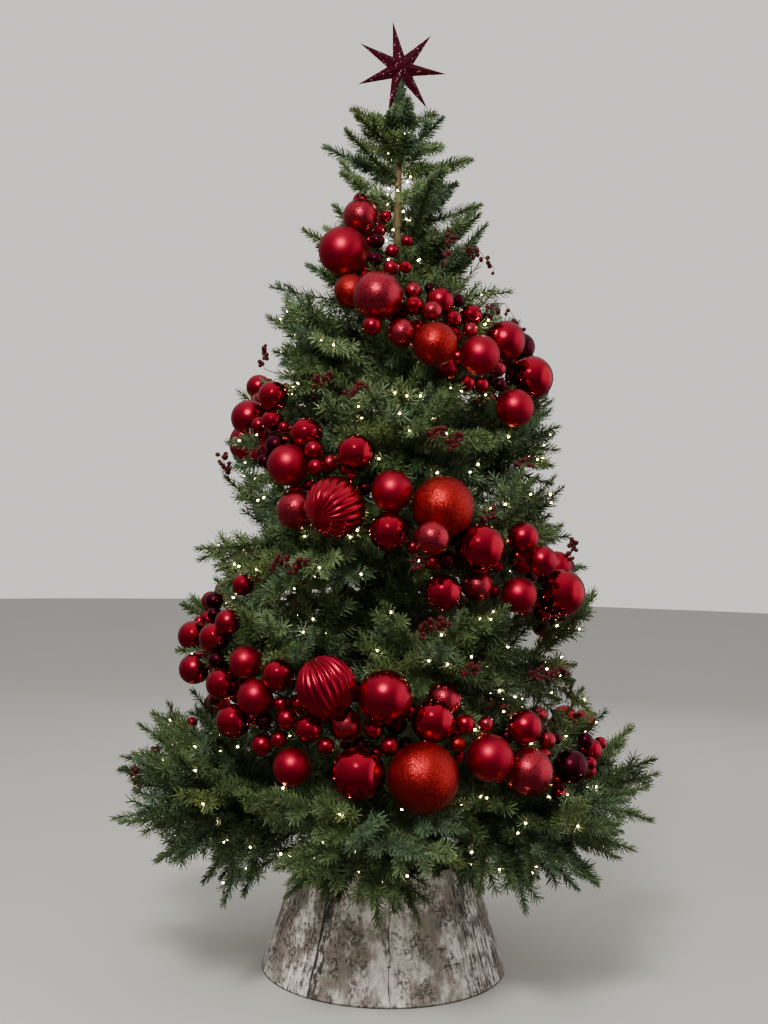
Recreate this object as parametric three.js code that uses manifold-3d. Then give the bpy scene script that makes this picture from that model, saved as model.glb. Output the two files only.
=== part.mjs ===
// An artificial Christmas tree, 2.2 m tall with the star at its tip. It stands in a four-legged
// steel stand, inside a tapered collar that looks like birch bark. Millimetres, +Z up. The origin is
// the middle of the stand's flat foot, on the floor. -Y is the tree's front.
import * as THREE from "three";
import { mergeVertices } from "three/addons/utils/BufferGeometryUtils.js";
import Module from "manifold-3d";

const wasm = await Module();
wasm.setup();

// The gap that two pieces keep where they touch.
const CLEAR = 0.3;

// The tapered collar that stands on the floor round the stand.
const COLLAR_BASE_RADIUS = 285;
const COLLAR_TOP_RADIUS = 200;
const COLLAR_HEIGHT = 265;
const COLLAR_WALL = 5;
const COLLAR_SEGMENTS = 40;

// The stand: a flat foot, a socket that holds the pole, and four legs that reach the collar's inside.
const FOOT_RADIUS = 62;
const FOOT_THICKNESS = 8;
const FOOT_SIDES = 16;
const SOCKET_RADIUS = 24;
const SOCKET_WALL = 3.5;
const SOCKET_HEIGHT = 190;
const LEG_COUNT = 4;
const LEG_WIDTH = 30;
const LEG_HEIGHT = 20;
const LEG_PLATE = 6;
const WEB_TOP = 114;
const WEB_ROOT = 28;

// The pole: three sections that step in, and a tip under the star.
const POLE_RADIUS = SOCKET_RADIUS - SOCKET_WALL - CLEAR;
const POLE_STEP = 2.2;
const POLE_JOINTS = [720, 1340];
const POLE_TIP_HEIGHT = 2040;
const POLE_TIP_RADIUS = 5;
const POLE_SIDES = 10;

// The star: seven folded points round a socket on the pole's tip.
const STAR_POINTS = 7;
const STAR_RADIUS = 112;
const STAR_WAIST_RADIUS = 33;
const STAR_DEPTH = 19;
const STAR_HEIGHT = 2103;
const STAR_FIRST_POINT = 101;
const STAR_TURN = 12;
const STAR_SOCKET_WALL = 3;
const STAR_SOCKET_TOP = STAR_HEIGHT - 8;
const STAR_SOCKET_LOW = POLE_TIP_HEIGHT - 34;

// Boughs, stems and twigs. A spray's widths are shares of its length.
const BOUGH_RADIUS = 8;
const BOUGH_SIDES = 6;
const BOUGH_STATIONS = 3;
const STEM_RADIUS = 5.5;
const STEM_END_RADIUS = 3;
const STEM_STATIONS = 3;
const STEM_SIDES = 4;
const TWIG_RADIUS = 3;
const SPRAY_TEETH = 3;
const SPRAY_WIDTH_SHARE = 0.5;
const SPINE_SHARE = 0.034;
const STALK_SHARE = 0.16;
const CORE_SHARE = 0.2;
const TAPER = 0.6;
const TIP_LENGTH = 0.35;
const SHORTEST_SPRAY = 138;
const SHRINK = 0.9;
const ROOM_STEP = 6;
const SPACE_MARGIN = 5;

// How twigs leave a mass's stem. Places on the stem are shares of its length, and angles are degrees.
const TIP_PLACE = 0.97;
const TIP_PITCH = 6;
const FIRST_PAIR_ON_BOUGH = 0.12;
const FIRST_PAIR_ON_POLE = 0.34;
const LAST_PAIR = 0.76;
const PAIR_STAGGER = 0.025;
const PAIR_YAW = 56;
const PAIR_YAW_LESS = 22;
const PAIR_PITCH = 4;
const PAIR_TILT = 25;
const UPRIGHT_TWIGS = [{ place: 0.42, tilt: 46 }, { place: 0.66, tilt: -40 }];
const UPRIGHT_YAW = 24;
const ANGLE_SPREAD = 6;
const TIP_SPREAD = 10;
const ROLL_SPREAD = 0.7;

// A stem ends this share of a spray's length short of the crown's edge.
const TIP_SHARE = 0.72;
const STEM_SWAY = 0.12;
const REACH_SPREAD = 0.05;

// The tiers of boughs: how far each reaches from the pole, and the heights that its masses keep to.
const TIERS = [
  { name: "lowest", count: 7, turn: 8, low: 200, high: 618, height: 440, boughReach: 235,
    boughRise: 35, rise: -55, reach: 688, pairs: 3, spray: 265 },
  { name: "second", count: 6, turn: -14, low: 628, high: 872, height: 700, boughReach: 195,
    boughRise: 40, rise: 0, reach: 552, pairs: 3, spray: 235 },
  { name: "third", count: 5, turn: 22, low: 882, high: 1102, height: 945, boughReach: 165,
    boughRise: 35, rise: 10, reach: 488, pairs: 3, spray: 225 },
  { name: "fourth", count: 5, turn: -12, low: 1112, high: 1322, height: 1170, boughReach: 0,
    boughRise: 0, rise: 55, reach: 438, pairs: 3, spray: 215 },
  { name: "fifth", count: 4, turn: 30, low: 1332, high: 1526, height: 1375, boughReach: 0,
    boughRise: 0, rise: 60, reach: 368, pairs: 2, spray: 215 },
];

// The bare-poled top: short whorls, each a sleeve on the pole with sprays standing out of it.
const SLEEVE_WALL = 3;
const SLEEVE_HEIGHT = 16;
const WHORL_TURN_SPREAD = 9;
const WHORL_PITCH_SPREAD = 7;
const WHORL_LENGTH_SPREAD = 0.1;
const WHORL_ROLL_SPREAD = 0.4;
const WHORLS = [
  { height: 1545, count: 6, turn: 5, reach: 282, pitch: 8 },
  { height: 1635, count: 5, turn: 40, reach: 222, pitch: 14 },
  { height: 1725, count: 4, turn: -8, reach: 182, pitch: 16 },
  { height: 1785, count: 4, turn: 38, reach: 165, pitch: 14 },
  { height: 1845, count: 4, turn: 6, reach: 172, pitch: 16 },
  { height: 1905, count: 4, turn: 48, reach: 142, pitch: 18 },
  { height: 1962, count: 4, turn: 12, reach: 112, pitch: 20 },
  { height: 1984, count: 4, turn: 57, reach: 44, pitch: 48 },
];

const UP = new THREE.Vector3(0, 0, 1);
const RADIANS = Math.PI / 180;

const look = (color, roughness, metalness = 0) =>
  new THREE.MeshStandardMaterial({ color, roughness, metalness });
const MATERIALS = {
  pole: look(0x4a4530, 0.8),
  bough: look(0x3a3a26, 0.85),
  needles: look(0x2f4b33, 0.75),
  collar: look(0xb3aca2, 0.8),
  stand: look(0x1f2421, 0.5, 0.6),
  star: look(0x5a0c1c, 0.7),
};

// A number from 0 to 1 that depends only on the seed and the count, so the same twig always grows.
function chance(seed, count) {
  const wave = Math.sin(seed * 12.9898 + count * 78.233) * 43758.5453;
  return wave - Math.floor(wave);
}

// A number from -1 to 1, by the same rule.
const spread = (seed, count) => 2 * chance(seed, count) - 1;

// A closed surface from its corners and triangles.
function surface(corners, triangles) {
  const geometry = new THREE.BufferGeometry();
  const numbers = corners.flatMap((corner) => corner.toArray());
  geometry.setAttribute("position", new THREE.Float32BufferAttribute(numbers, 3));
  geometry.setIndex(triangles.flat());
  return geometry;
}

// A geometry as a manifold-3d solid.
function solidOf(geometry) {
  const bare = geometry.clone();
  bare.deleteAttribute("normal");
  bare.deleteAttribute("uv");
  const merged = mergeVertices(bare, 1e-4);
  return new wasm.Manifold(new wasm.Mesh({
    numProp: 3,
    vertProperties: merged.attributes.position.array,
    triVerts: new Uint32Array(merged.index.array),
  }));
}

// A manifold-3d solid as a geometry.
function geometryOf(solid) {
  const mesh = solid.getMesh();
  const geometry = new THREE.BufferGeometry();
  geometry.setAttribute("position", new THREE.BufferAttribute(new Float32Array(mesh.vertProperties), 3));
  geometry.setIndex(new THREE.BufferAttribute(new Uint32Array(mesh.triVerts), 1));
  geometry.computeVertexNormals();
  return geometry;
}

// One solid from several that overlap. Scraps that came loose are dropped.
function fused(geometries) {
  const whole = wasm.Manifold.union(geometries.map(solidOf));
  const bodies = whole.decompose().sort((a, b) => b.volume() - a.volume());
  return geometryOf(bodies[0]);
}

function named(name, geometry, material) {
  const mesh = new THREE.Mesh(geometry, material);
  mesh.name = name;
  return mesh;
}

// A profile turned about +Z. Its points run up the outside, so that the faces point outwards.
function turned(points, segments) {
  const profile = points.map(([radius, height]) => new THREE.Vector2(radius, height));
  return new THREE.LatheGeometry(profile, segments).rotateX(Math.PI / 2);
}

// A tapering limb along a path, flat at both ends. Its first and last rings face along the given ways.
function limb(path, radii, sides, firstWay, lastWay) {
  const last = path.length - 1;
  const ways = path.map((point, i) =>
    path[Math.min(i + 1, last)].clone().sub(path[Math.max(i - 1, 0)]).normalize());
  if (firstWay) ways[0] = firstWay;
  if (lastWay) ways[last] = lastWay;
  const corners = [];
  const triangles = [];
  path.forEach((point, i) => {
    const reference = Math.abs(ways[i].z) > 0.95 ? new THREE.Vector3(1, 0, 0) : UP;
    const across = new THREE.Vector3().crossVectors(ways[i], reference).normalize();
    const above = new THREE.Vector3().crossVectors(across, ways[i]);
    for (let k = 0; k < sides; k++) {
      const angle = (2 * Math.PI * k) / sides + Math.PI / 2;
      corners.push(point.clone()
        .addScaledVector(across, Math.cos(angle) * radii[i])
        .addScaledVector(above, Math.sin(angle) * radii[i]));
    }
  });
  for (let i = 0; i < last; i++) {
    for (let k = 0; k < sides; k++) {
      const a = i * sides + k;
      const b = i * sides + ((k + 1) % sides);
      triangles.push([a, b, a + sides], [b, b + sides, a + sides]);
    }
  }
  for (let k = 1; k < sides - 1; k++) {
    triangles.push([0, k + 1, k]);
    triangles.push([last * sides, last * sides + k, last * sides + k + 1]);
  }
  return surface(corners, triangles.map(([a, b, c]) => [a, c, b]));
}

// A twig with its spray of needles: a three-sided stalk that widens into a toothed blade, flat below
// and raised along its spine. It returns the corners of the teeth too, which must stay in the space.
function spray(root, way, length, roll) {
  const across = new THREE.Vector3().crossVectors(UP, way).normalize().applyAxisAngle(way, roll);
  const above = new THREE.Vector3().crossVectors(way, across);
  const corners = [];
  const add = (along, side, rise) => corners.push(root.clone()
    .addScaledVector(way, along)
    .addScaledVector(across, side)
    .addScaledVector(above, rise)) - 1;
  const station = (along, halfWidth, rise) => ({
    top: add(along, 0, rise),
    edges: [add(along, halfWidth, 0), add(along, -halfWidth, 0)],
  });
  const stalk = length * STALK_SHARE;
  const step = (length - stalk) / (SPRAY_TEETH + TIP_LENGTH);
  const halfWidth = (length * SPRAY_WIDTH_SHARE) / 2;
  const stations = [station(0, TWIG_RADIUS, TWIG_RADIUS)];
  for (let i = 0; i < SPRAY_TEETH; i++) {
    const fade = 1 - (TAPER * i) / SPRAY_TEETH;
    stations.push(station(stalk + i * step, halfWidth * CORE_SHARE * fade, length * SPINE_SHARE * fade));
  }
  const tip = add(length, 0, 0);
  stations.push({ top: tip, edges: [tip, tip] });
  const triangles = [];
  const face = (side, a, b, c) => {
    if (a !== b && b !== c && a !== c) triangles.push(side > 0 ? [a, c, b] : [a, b, c]);
  };
  const teeth = [];
  for (let i = 0; i <= SPRAY_TEETH; i++) {
    const from = stations[i];
    const to = stations[i + 1];
    face(1, from.edges[0], from.edges[1], to.edges[1]);
    face(1, from.edges[0], to.edges[1], to.edges[0]);
    [1, -1].forEach((side, j) => {
      if (i === 0) {
        face(side, from.top, from.edges[j], to.edges[j]);
        face(side, from.top, to.edges[j], to.top);
        return;
      }
      const fullness = Math.cos((Math.PI * (i - 1)) / (2 * SPRAY_TEETH));
      const peak = add(stalk + i * step, side * halfWidth * fullness, 0);
      teeth.push(corners[peak]);
      face(side, from.top, from.edges[j], peak);
      face(side, from.top, peak, to.top);
      face(side, to.top, peak, to.edges[j]);
      face(side, from.edges[j], to.edges[j], peak);
    });
  }
  const [foot] = stations;
  face(1, foot.top, foot.edges[1], foot.edges[0]);
  return { geometry: surface(corners, triangles), edge: [...teeth, corners[tip]] };
}

// The pole's radius at a height: three sections that step in, the last one tapering to the tip.
function poleRadius(height) {
  const steps = POLE_JOINTS.filter((joint) => height > joint).length;
  const straight = POLE_RADIUS - steps * POLE_STEP;
  const [, lastJoint] = POLE_JOINTS;
  if (height <= lastJoint) return straight;
  const share = (height - lastJoint) / (POLE_TIP_HEIGHT - lastJoint);
  return straight + (POLE_TIP_RADIUS - straight) * share;
}

// How far the many-sided pole stands out towards a flat-ended limb that meets it at an azimuth.
function poleFace(height, azimuth) {
  const sector = (2 * Math.PI) / POLE_SIDES;
  const turn = (azimuth + Math.PI / 2) / sector;
  return poleRadius(height) * Math.cos((turn - Math.round(turn)) * sector);
}

function pole() {
  const profile = [[0, FOOT_THICKNESS + CLEAR], [POLE_RADIUS, FOOT_THICKNESS + CLEAR]];
  POLE_JOINTS.forEach((joint) => {
    profile.push([poleRadius(joint), joint]);
    profile.push([poleRadius(joint + POLE_STEP), joint + POLE_STEP]);
  });
  profile.push([POLE_TIP_RADIUS, POLE_TIP_HEIGHT], [0, POLE_TIP_HEIGHT]);
  return named("trunk", turned(profile, POLE_SIDES), MATERIALS.pole);
}

// The collar's inner radius at a height.
function collarInside(height) {
  const lean = (COLLAR_BASE_RADIUS - COLLAR_TOP_RADIUS) / COLLAR_HEIGHT;
  return COLLAR_BASE_RADIUS - COLLAR_WALL - lean * height;
}

function collar() {
  const profile = [
    [COLLAR_BASE_RADIUS - COLLAR_WALL, 0],
    [COLLAR_BASE_RADIUS, 0],
    [COLLAR_TOP_RADIUS, COLLAR_HEIGHT],
    [COLLAR_TOP_RADIUS - COLLAR_WALL, COLLAR_HEIGHT],
    [COLLAR_BASE_RADIUS - COLLAR_WALL, 0],
  ];
  return named("collar", turned(profile, COLLAR_SEGMENTS), MATERIALS.collar);
}

// The stand: foot, socket and legs in one welded piece. Each leg stops just short of the collar.
function stand() {
  const disc = [[0, 0], [FOOT_RADIUS, 0], [FOOT_RADIUS, FOOT_THICKNESS], [0, FOOT_THICKNESS]];
  const foot = turned(disc, FOOT_SIDES);
  const socket = turned([
    [SOCKET_RADIUS - SOCKET_WALL, FOOT_THICKNESS / 2],
    [SOCKET_RADIUS, FOOT_THICKNESS / 2],
    [SOCKET_RADIUS, SOCKET_HEIGHT],
    [SOCKET_RADIUS - SOCKET_WALL, SOCKET_HEIGHT],
    [SOCKET_RADIUS - SOCKET_WALL, FOOT_THICKNESS / 2],
  ], POLE_SIDES);
  const flat = Math.cos(Math.PI / COLLAR_SEGMENTS);
  const reach = collarInside(LEG_HEIGHT) * flat - CLEAR;
  const web = new THREE.Shape([
    new THREE.Vector2(WEB_ROOT, 0),
    new THREE.Vector2(reach, 0),
    new THREE.Vector2(reach, LEG_HEIGHT),
    new THREE.Vector2(FOOT_RADIUS, LEG_HEIGHT),
    new THREE.Vector2(WEB_ROOT, WEB_TOP),
  ]);
  const shoeRoot = FOOT_RADIUS / 2;
  const legs = Array.from({ length: LEG_COUNT }, (_, i) => {
    const azimuth = (i + 0.5) * ((2 * Math.PI) / LEG_COUNT);
    const plate = new THREE.ExtrudeGeometry(web, { depth: LEG_PLATE, bevelEnabled: false })
      .translate(0, 0, -LEG_PLATE / 2)
      .rotateX(Math.PI / 2)
      .rotateZ(azimuth);
    const shoe = new THREE.BoxGeometry(reach - LEG_PLATE - shoeRoot, LEG_WIDTH, LEG_PLATE)
      .translate((reach - LEG_PLATE + shoeRoot) / 2, 0, LEG_PLATE / 2)
      .rotateZ(azimuth);
    return [plate, shoe];
  }).flat();
  return named("stand", fused([foot, socket, ...legs]), MATERIALS.stand);
}

// The star: a ring of points and waists round a front and a back middle, with a socket on the pole.
function star() {
  const front = new THREE.Vector3(0, -STAR_DEPTH, 0);
  const back = new THREE.Vector3(0, STAR_DEPTH, 0);
  const rim = Array.from({ length: 2 * STAR_POINTS }, (_, i) => {
    const radius = i % 2 ? STAR_WAIST_RADIUS : STAR_RADIUS;
    const angle = STAR_FIRST_POINT * RADIANS + (i * Math.PI) / STAR_POINTS;
    return new THREE.Vector3(radius * Math.cos(angle), 0, radius * Math.sin(angle));
  });
  const triangles = rim.flatMap((_, i) => {
    const next = (i + 1) % rim.length;
    return [[0, 2 + next, 2 + i], [1, 2 + i, 2 + next]];
  });
  const folded = surface([front, back, ...rim], triangles.map(([a, b, c]) => [a, c, b]))
    .rotateZ(STAR_TURN * RADIANS)
    .translate(0, 0, STAR_HEIGHT);
  const inside = poleRadius(STAR_SOCKET_LOW) + CLEAR;
  const socket = turned([
    [0, POLE_TIP_HEIGHT + CLEAR],
    [inside, POLE_TIP_HEIGHT + CLEAR],
    [inside, STAR_SOCKET_LOW],
    [inside + STAR_SOCKET_WALL, STAR_SOCKET_LOW],
    [inside + STAR_SOCKET_WALL, STAR_SOCKET_TOP],
    [0, STAR_SOCKET_TOP],
  ], POLE_SIDES);
  return named("star", fused([folded, socket]), MATERIALS.star);
}

// A point given by its distance from the pole, its sideways offset and its height, in a bough's own
// upright plane.
function inPlane(azimuth, out, side, height) {
  return new THREE.Vector3(
    out * Math.cos(azimuth) - side * Math.sin(azimuth),
    out * Math.sin(azimuth) + side * Math.cos(azimuth),
    height,
  );
}

// A direction that turns sideways from the bough's own, and up.
function wayOf(azimuth, yaw, pitch) {
  const turnedBy = azimuth + yaw;
  return new THREE.Vector3(
    Math.cos(turnedBy) * Math.cos(pitch),
    Math.sin(turnedBy) * Math.cos(pitch),
    Math.sin(pitch),
  );
}

// Whether a point lies in the space of a mass.
function inSpace(space, point) {
  const out = Math.hypot(point.x, point.y);
  if (out > space.reach || out < space.start) return false;
  if (point.z < space.low || point.z > space.high) return false;
  const away = Math.atan2(point.y, point.x) - space.azimuth;
  const turn = Math.atan2(Math.sin(away), Math.cos(away));
  const spare = space.halfTurn - Math.abs(turn);
  return spare > 0 && out * Math.sin(spare) > SPACE_MARGIN;
}

// How far a straight twig can grow before it leaves the space.
function roomFor(space, root, way, wanted) {
  const at = (distance) => root.clone().addScaledVector(way, distance);
  let length = 0;
  while (length < wanted && inSpace(space, at(length + ROOM_STEP))) length += ROOM_STEP;
  return Math.min(length, wanted);
}

// A spray as long as its space allows, teeth and all, or nothing where only a short one would fit.
function sprig(space, root, way, wanted, roll) {
  let length = roomFor(space, root, way, wanted);
  while (length >= SHORTEST_SPRAY) {
    const grown = spray(root, way, length, roll);
    if (grown.edge.every((point) => inSpace(space, point))) return [grown.geometry];
    length *= SHRINK;
  }
  return [];
}

// The height of a bough or stem at a share of its way out: it rises, then levels.
const arched = (from, rise, share) => from + rise * Math.sin((share * Math.PI) / 2);

// Boughs of a tier: one tapering limb each, from the pole to where its mass of foliage begins.
function bough(tier, index, azimuth) {
  const start = poleFace(tier.height, azimuth) + CLEAR;
  const shares = Array.from({ length: BOUGH_STATIONS }, (_, i) => i / (BOUGH_STATIONS - 1));
  const path = shares.map((share) => {
    const out = start + (tier.boughReach - start) * share;
    return inPlane(azimuth, out, 0, arched(tier.height, tier.boughRise, share));
  });
  const radii = shares.map((share) => BOUGH_RADIUS + (STEM_RADIUS - BOUGH_RADIUS) * share);
  const outwards = wayOf(azimuth, 0, 0);
  const shape = limb(path, radii, BOUGH_SIDES, outwards, outwards);
  return named(`bough_${tier.name}_${index + 1}`, shape, MATERIALS.bough);
}

// The space that a mass keeps to: its wedge between two heights, out to the crown's edge.
function spaceOf(tier, seed, azimuth) {
  return {
    azimuth,
    halfTurn: Math.PI / tier.count,
    start: (tier.boughReach || poleFace(tier.height, azimuth)) + CLEAR,
    reach: tier.reach * (1 - REACH_SPREAD * chance(seed, 1)),
    low: tier.low,
    high: tier.high,
  };
}

// A mass of foliage: a stem that runs on from the bough, or from the pole, with pairs of twigs that
// carry sprays, and one more twig above it and one below.
function mass(tier, tierIndex, index, azimuth) {
  const seed = 1 + tierIndex * 10 + index;
  const space = spaceOf(tier, seed, azimuth);
  const { start } = space;
  const base = tier.height + tier.boughRise;
  const stemReach = space.reach - tier.spray * TIP_SHARE;
  const sway = spread(seed, 2) * STEM_SWAY;
  const stemAt = (share) => {
    const out = start + (stemReach - start) * share;
    return inPlane(azimuth, out, sway * (out - start) * share, arched(base, tier.rise, share));
  };
  const grow = (place, yaw, pitch, roll) => {
    const way = wayOf(azimuth, yaw * RADIANS, pitch * RADIANS);
    return sprig(space, stemAt(place), way, tier.spray, roll);
  };
  const shares = Array.from({ length: STEM_STATIONS }, (_, i) => i / (STEM_STATIONS - 1));
  const radii = shares.map((share) => STEM_RADIUS + (STEM_END_RADIUS - STEM_RADIUS) * share);
  const pieces = [limb(shares.map(stemAt), radii, STEM_SIDES, wayOf(azimuth, 0, 0))];
  const tipPitch = TIP_PITCH + TIP_SPREAD * spread(seed, 3);
  pieces.push(...grow(TIP_PLACE, sway / RADIANS, tipPitch, ROLL_SPREAD * spread(seed, 4)));
  const firstPair = tier.boughReach ? FIRST_PAIR_ON_BOUGH : FIRST_PAIR_ON_POLE;
  for (let pair = 0; pair < tier.pairs; pair++) {
    const place = firstPair + ((LAST_PAIR - firstPair) * pair) / (tier.pairs - 1);
    for (const side of [-1, 1]) {
      const count = 10 + pair * 8 + (side > 0 ? 4 : 0);
      const tilt = pair % 2 === (side > 0 ? 0 : 1) ? PAIR_TILT : -PAIR_TILT;
      const yaw = side * (PAIR_YAW - PAIR_YAW_LESS * place + ANGLE_SPREAD * spread(seed, count));
      const pitch = PAIR_PITCH + tilt + ANGLE_SPREAD * spread(seed, count + 1);
      const roll = ROLL_SPREAD * spread(seed, count + 2);
      pieces.push(...grow(place + PAIR_STAGGER * side, yaw, pitch, roll));
    }
  }
  UPRIGHT_TWIGS.forEach(({ place, tilt }, k) => {
    const count = 60 + k * 5;
    const yaw = UPRIGHT_YAW * spread(seed, count);
    const pitch = tilt + ANGLE_SPREAD * spread(seed, count + 1);
    pieces.push(...grow(place, yaw, pitch, ROLL_SPREAD * spread(seed, count + 2)));
  });
  return named(`foliage_${tier.name}_${index + 1}`, fused(pieces), MATERIALS.needles);
}

// A whorl near the top: a sleeve on the pole with sprays standing out of it.
function whorl(rule, index) {
  const radius = poleRadius(rule.height - SLEEVE_HEIGHT / 2) + CLEAR;
  const low = rule.height - SLEEVE_HEIGHT / 2;
  const high = rule.height + SLEEVE_HEIGHT / 2;
  const sleeve = turned([
    [radius, low],
    [radius + SLEEVE_WALL, low],
    [radius + SLEEVE_WALL, high],
    [radius, high],
    [radius, low],
  ], POLE_SIDES);
  const pieces = [sleeve];
  for (let i = 0; i < rule.count; i++) {
    const seed = 200 + index * 10 + i;
    const turn = rule.turn + (360 * i) / rule.count + WHORL_TURN_SPREAD * spread(seed, 1);
    const azimuth = turn * RADIANS;
    const pitch = (rule.pitch + WHORL_PITCH_SPREAD * spread(seed, 2)) * RADIANS;
    const root = inPlane(azimuth, radius + SLEEVE_WALL * 0.9, 0, rule.height);
    const whole = (rule.reach - radius) / Math.cos(pitch);
    const length = whole * (1 - WHORL_LENGTH_SPREAD * chance(seed, 3));
    const roll = WHORL_ROLL_SPREAD * spread(seed, 4);
    pieces.push(spray(root, wayOf(azimuth, 0, pitch), length, roll).geometry);
  }
  return named(`foliage_whorl_${index + 1}`, fused(pieces), MATERIALS.needles);
}

const tree = new THREE.Group();
tree.add(collar(), stand(), pole(), star());
TIERS.forEach((tier, tierIndex) => {
  for (let i = 0; i < tier.count; i++) {
    const azimuth = (tier.turn + (360 * i) / tier.count) * RADIANS;
    if (tier.boughReach > 0) tree.add(bough(tier, i, azimuth));
    tree.add(mass(tier, tierIndex, i, azimuth));
  }
});
WHORLS.forEach((rule, index) => tree.add(whorl(rule, index)));

export default tree;
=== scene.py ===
"""The looks of an artificial Christmas tree: a painted pole with boughs of taped wire, sprays of green
PVC needles, a winding garland of red baubles with berries, warm fairy lights, a folded paper star,
a steel stand and a tapered collar of birch bark. Metres, +Z up, -Y is the tree's front."""
import functools
import math

import bpy
import numpy as np
from mathutils import Matrix, Vector


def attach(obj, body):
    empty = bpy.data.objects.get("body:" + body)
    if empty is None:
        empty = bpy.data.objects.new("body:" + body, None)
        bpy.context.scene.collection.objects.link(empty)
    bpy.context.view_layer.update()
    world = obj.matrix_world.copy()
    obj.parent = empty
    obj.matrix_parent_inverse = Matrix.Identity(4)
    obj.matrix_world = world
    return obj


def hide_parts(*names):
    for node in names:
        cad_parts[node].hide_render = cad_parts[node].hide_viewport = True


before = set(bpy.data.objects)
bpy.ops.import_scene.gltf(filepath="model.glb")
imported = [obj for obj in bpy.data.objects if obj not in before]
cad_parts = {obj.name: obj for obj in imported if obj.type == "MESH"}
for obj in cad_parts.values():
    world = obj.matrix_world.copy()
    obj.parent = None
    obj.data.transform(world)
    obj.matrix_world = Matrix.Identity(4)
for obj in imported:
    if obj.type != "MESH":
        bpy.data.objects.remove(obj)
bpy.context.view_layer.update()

bl_info = {
    "name": "Christmas tree",
    "version": (1, 0, 0),
    "blender": (4, 5, 0),
    "location": "View3D > Sidebar > Tree",
    "description": "Builds an artificial Christmas tree with its decorations and lights",
    "category": "Object",
}

# The photograph's frame, and the camera that took it. Angles are degrees.
PHOTO_WIDTH = 768
PHOTO_HEIGHT = 1024
FOCAL_PIXELS = 1350
SENSOR = 36
CAMERA_PLACE = (0.0, -3.17, 1.08)
CAMERA_YAW = 0.34
CAMERA_DOWN = 0.3
CAMERA_ROLL = 1.12

# The collar and the pole, as in the source.
COLLAR_BASE_RADIUS = 0.285
COLLAR_TOP_RADIUS = 0.2
COLLAR_HEIGHT = 0.265
COLLAR_WALL = 0.005
COLLAR_MIDDLE_RADIUS = (COLLAR_BASE_RADIUS + COLLAR_TOP_RADIUS) / 2
POLE_RADIUS = 0.0202
POLE_STEP = 0.0022
POLE_JOINTS = (0.72, 1.34)
POLE_FOOT = 0.0083
POLE_TIP_HEIGHT = 2.04
POLE_TIP_RADIUS = 0.005
CLEAR = 0.0003

# The star, as in the source.
STAR_POINTS = 7
STAR_RADIUS = 0.112
STAR_WAIST_RADIUS = 0.033
STAR_DEPTH = 0.019
STAR_HEIGHT = 2.103
STAR_FIRST_POINT = 101
STAR_TURN = 12

# The limbs, and the source's rule for how twigs leave a mass's stem. A bough starts a little inside
# the pole. Places are shares of the stem's length.
BOUGH_RADIUS = 0.008
BOUGH_INSIDE = 0.002
STEM_RADIUS = 0.0055
STEM_END_RADIUS = 0.003
TIP_PLACE = 0.97
TIP_PITCH = 6
FIRST_PAIR_ON_BOUGH = 0.12
FIRST_PAIR_ON_POLE = 0.34
LAST_PAIR = 0.76
PAIR_STAGGER = 0.025
PAIR_YAW = 56
PAIR_YAW_LESS = 22
PAIR_PITCH = 4
PAIR_TILT = 25
UPRIGHT_YAW = 24
UPRIGHT_PLACE = 0.42
UPRIGHT_STEP = 0.24
UPRIGHT_LIFT = 3
UPRIGHT_TILT = 43
ANGLE_SPREAD = 6
TIP_SPREAD = 10
ROLL_SPREAD = 0.7
TIP_SHARE = 0.72
STEM_SWAY = 0.12
REACH_SPREAD = 0.05
SPRAY_HALF_WIDTH = 0.25

# Each tier: boughs round the pole, turn in degrees, the heights its masses keep to, where its boughs
# leave the pole, how far they reach and rise, how the stems rise, the crown's edge, pairs and spray.
TIER_KEYS = ("name", "count", "turn", "low", "high", "height", "bough_reach", "bough_rise", "rise",
             "reach", "pairs", "spray")
TIERS = [dict(zip(TIER_KEYS, row)) for row in (
    ("lowest", 7, 8, 0.2, 0.618, 0.44, 0.235, 0.035, -0.055, 0.688, 3, 0.265),
    ("second", 6, -14, 0.628, 0.872, 0.7, 0.195, 0.04, 0.0, 0.552, 3, 0.235),
    ("third", 5, 22, 0.882, 1.102, 0.945, 0.165, 0.035, 0.01, 0.488, 3, 0.225),
    ("fourth", 5, -12, 1.112, 1.322, 1.17, 0, 0, 0.055, 0.438, 3, 0.215),
    ("fifth", 4, 30, 1.332, 1.526, 1.375, 0, 0, 0.06, 0.368, 2, 0.215),
)]

# The short whorls of the bare-poled top, as in the source, but for their last three values: how many
# times finer the scene grows a whorl, whether it is parted in front of the pole, and how much of its
# sprays' length is grown. A spray between the source's own has more pitch and is shorter.
WHORL_TURN_SPREAD = 9
WHORL_PITCH_SPREAD = 7
WHORL_LENGTH_SPREAD = 0.1
WHORL_ROLL_SPREAD = 0.4
BETWEEN_PITCH = 22
BETWEEN_LENGTH = 0.82
PARTING = math.radians(42)
WHORL_KEYS = ("height", "count", "turn", "reach", "pitch", "finer", "parted", "grown")
WHORLS = [dict(zip(WHORL_KEYS, row)) for row in (
    (1.545, 6, 5, 0.282, 8, 2, False, 1),
    (1.635, 5, 40, 0.222, 14, 2, False, 1),
    (1.725, 4, -8, 0.182, 16, 2, True, 1),
    (1.785, 4, 38, 0.165, 14, 1, True, 1),
    (1.845, 4, 6, 0.172, 16, 1, True, 1),
    (1.905, 4, 48, 0.142, 18, 1, False, 1),
    (1.962, 4, 12, 0.112, 20, 1, False, 1),
    (1.984, 4, 57, 0.044, 48, 1, False, 0.35),
)]

# How much finer the scene grows each mass than the source: pairs and uprights between the source's,
# and pairs past its last one.
FINER_PAIRS = 2
FINER_UPRIGHTS = 0.3
PAIRS_PAST_LAST = 1.2
# The sprays at a stem's end: degrees of yaw and of pitch past the stem's own, and place on it.
STEM_TIPS = np.array([(0, 0, TIP_PLACE), (-30, 16, 0.93), (30, -14, 0.9), (12, 38, 0.95)])
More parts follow.
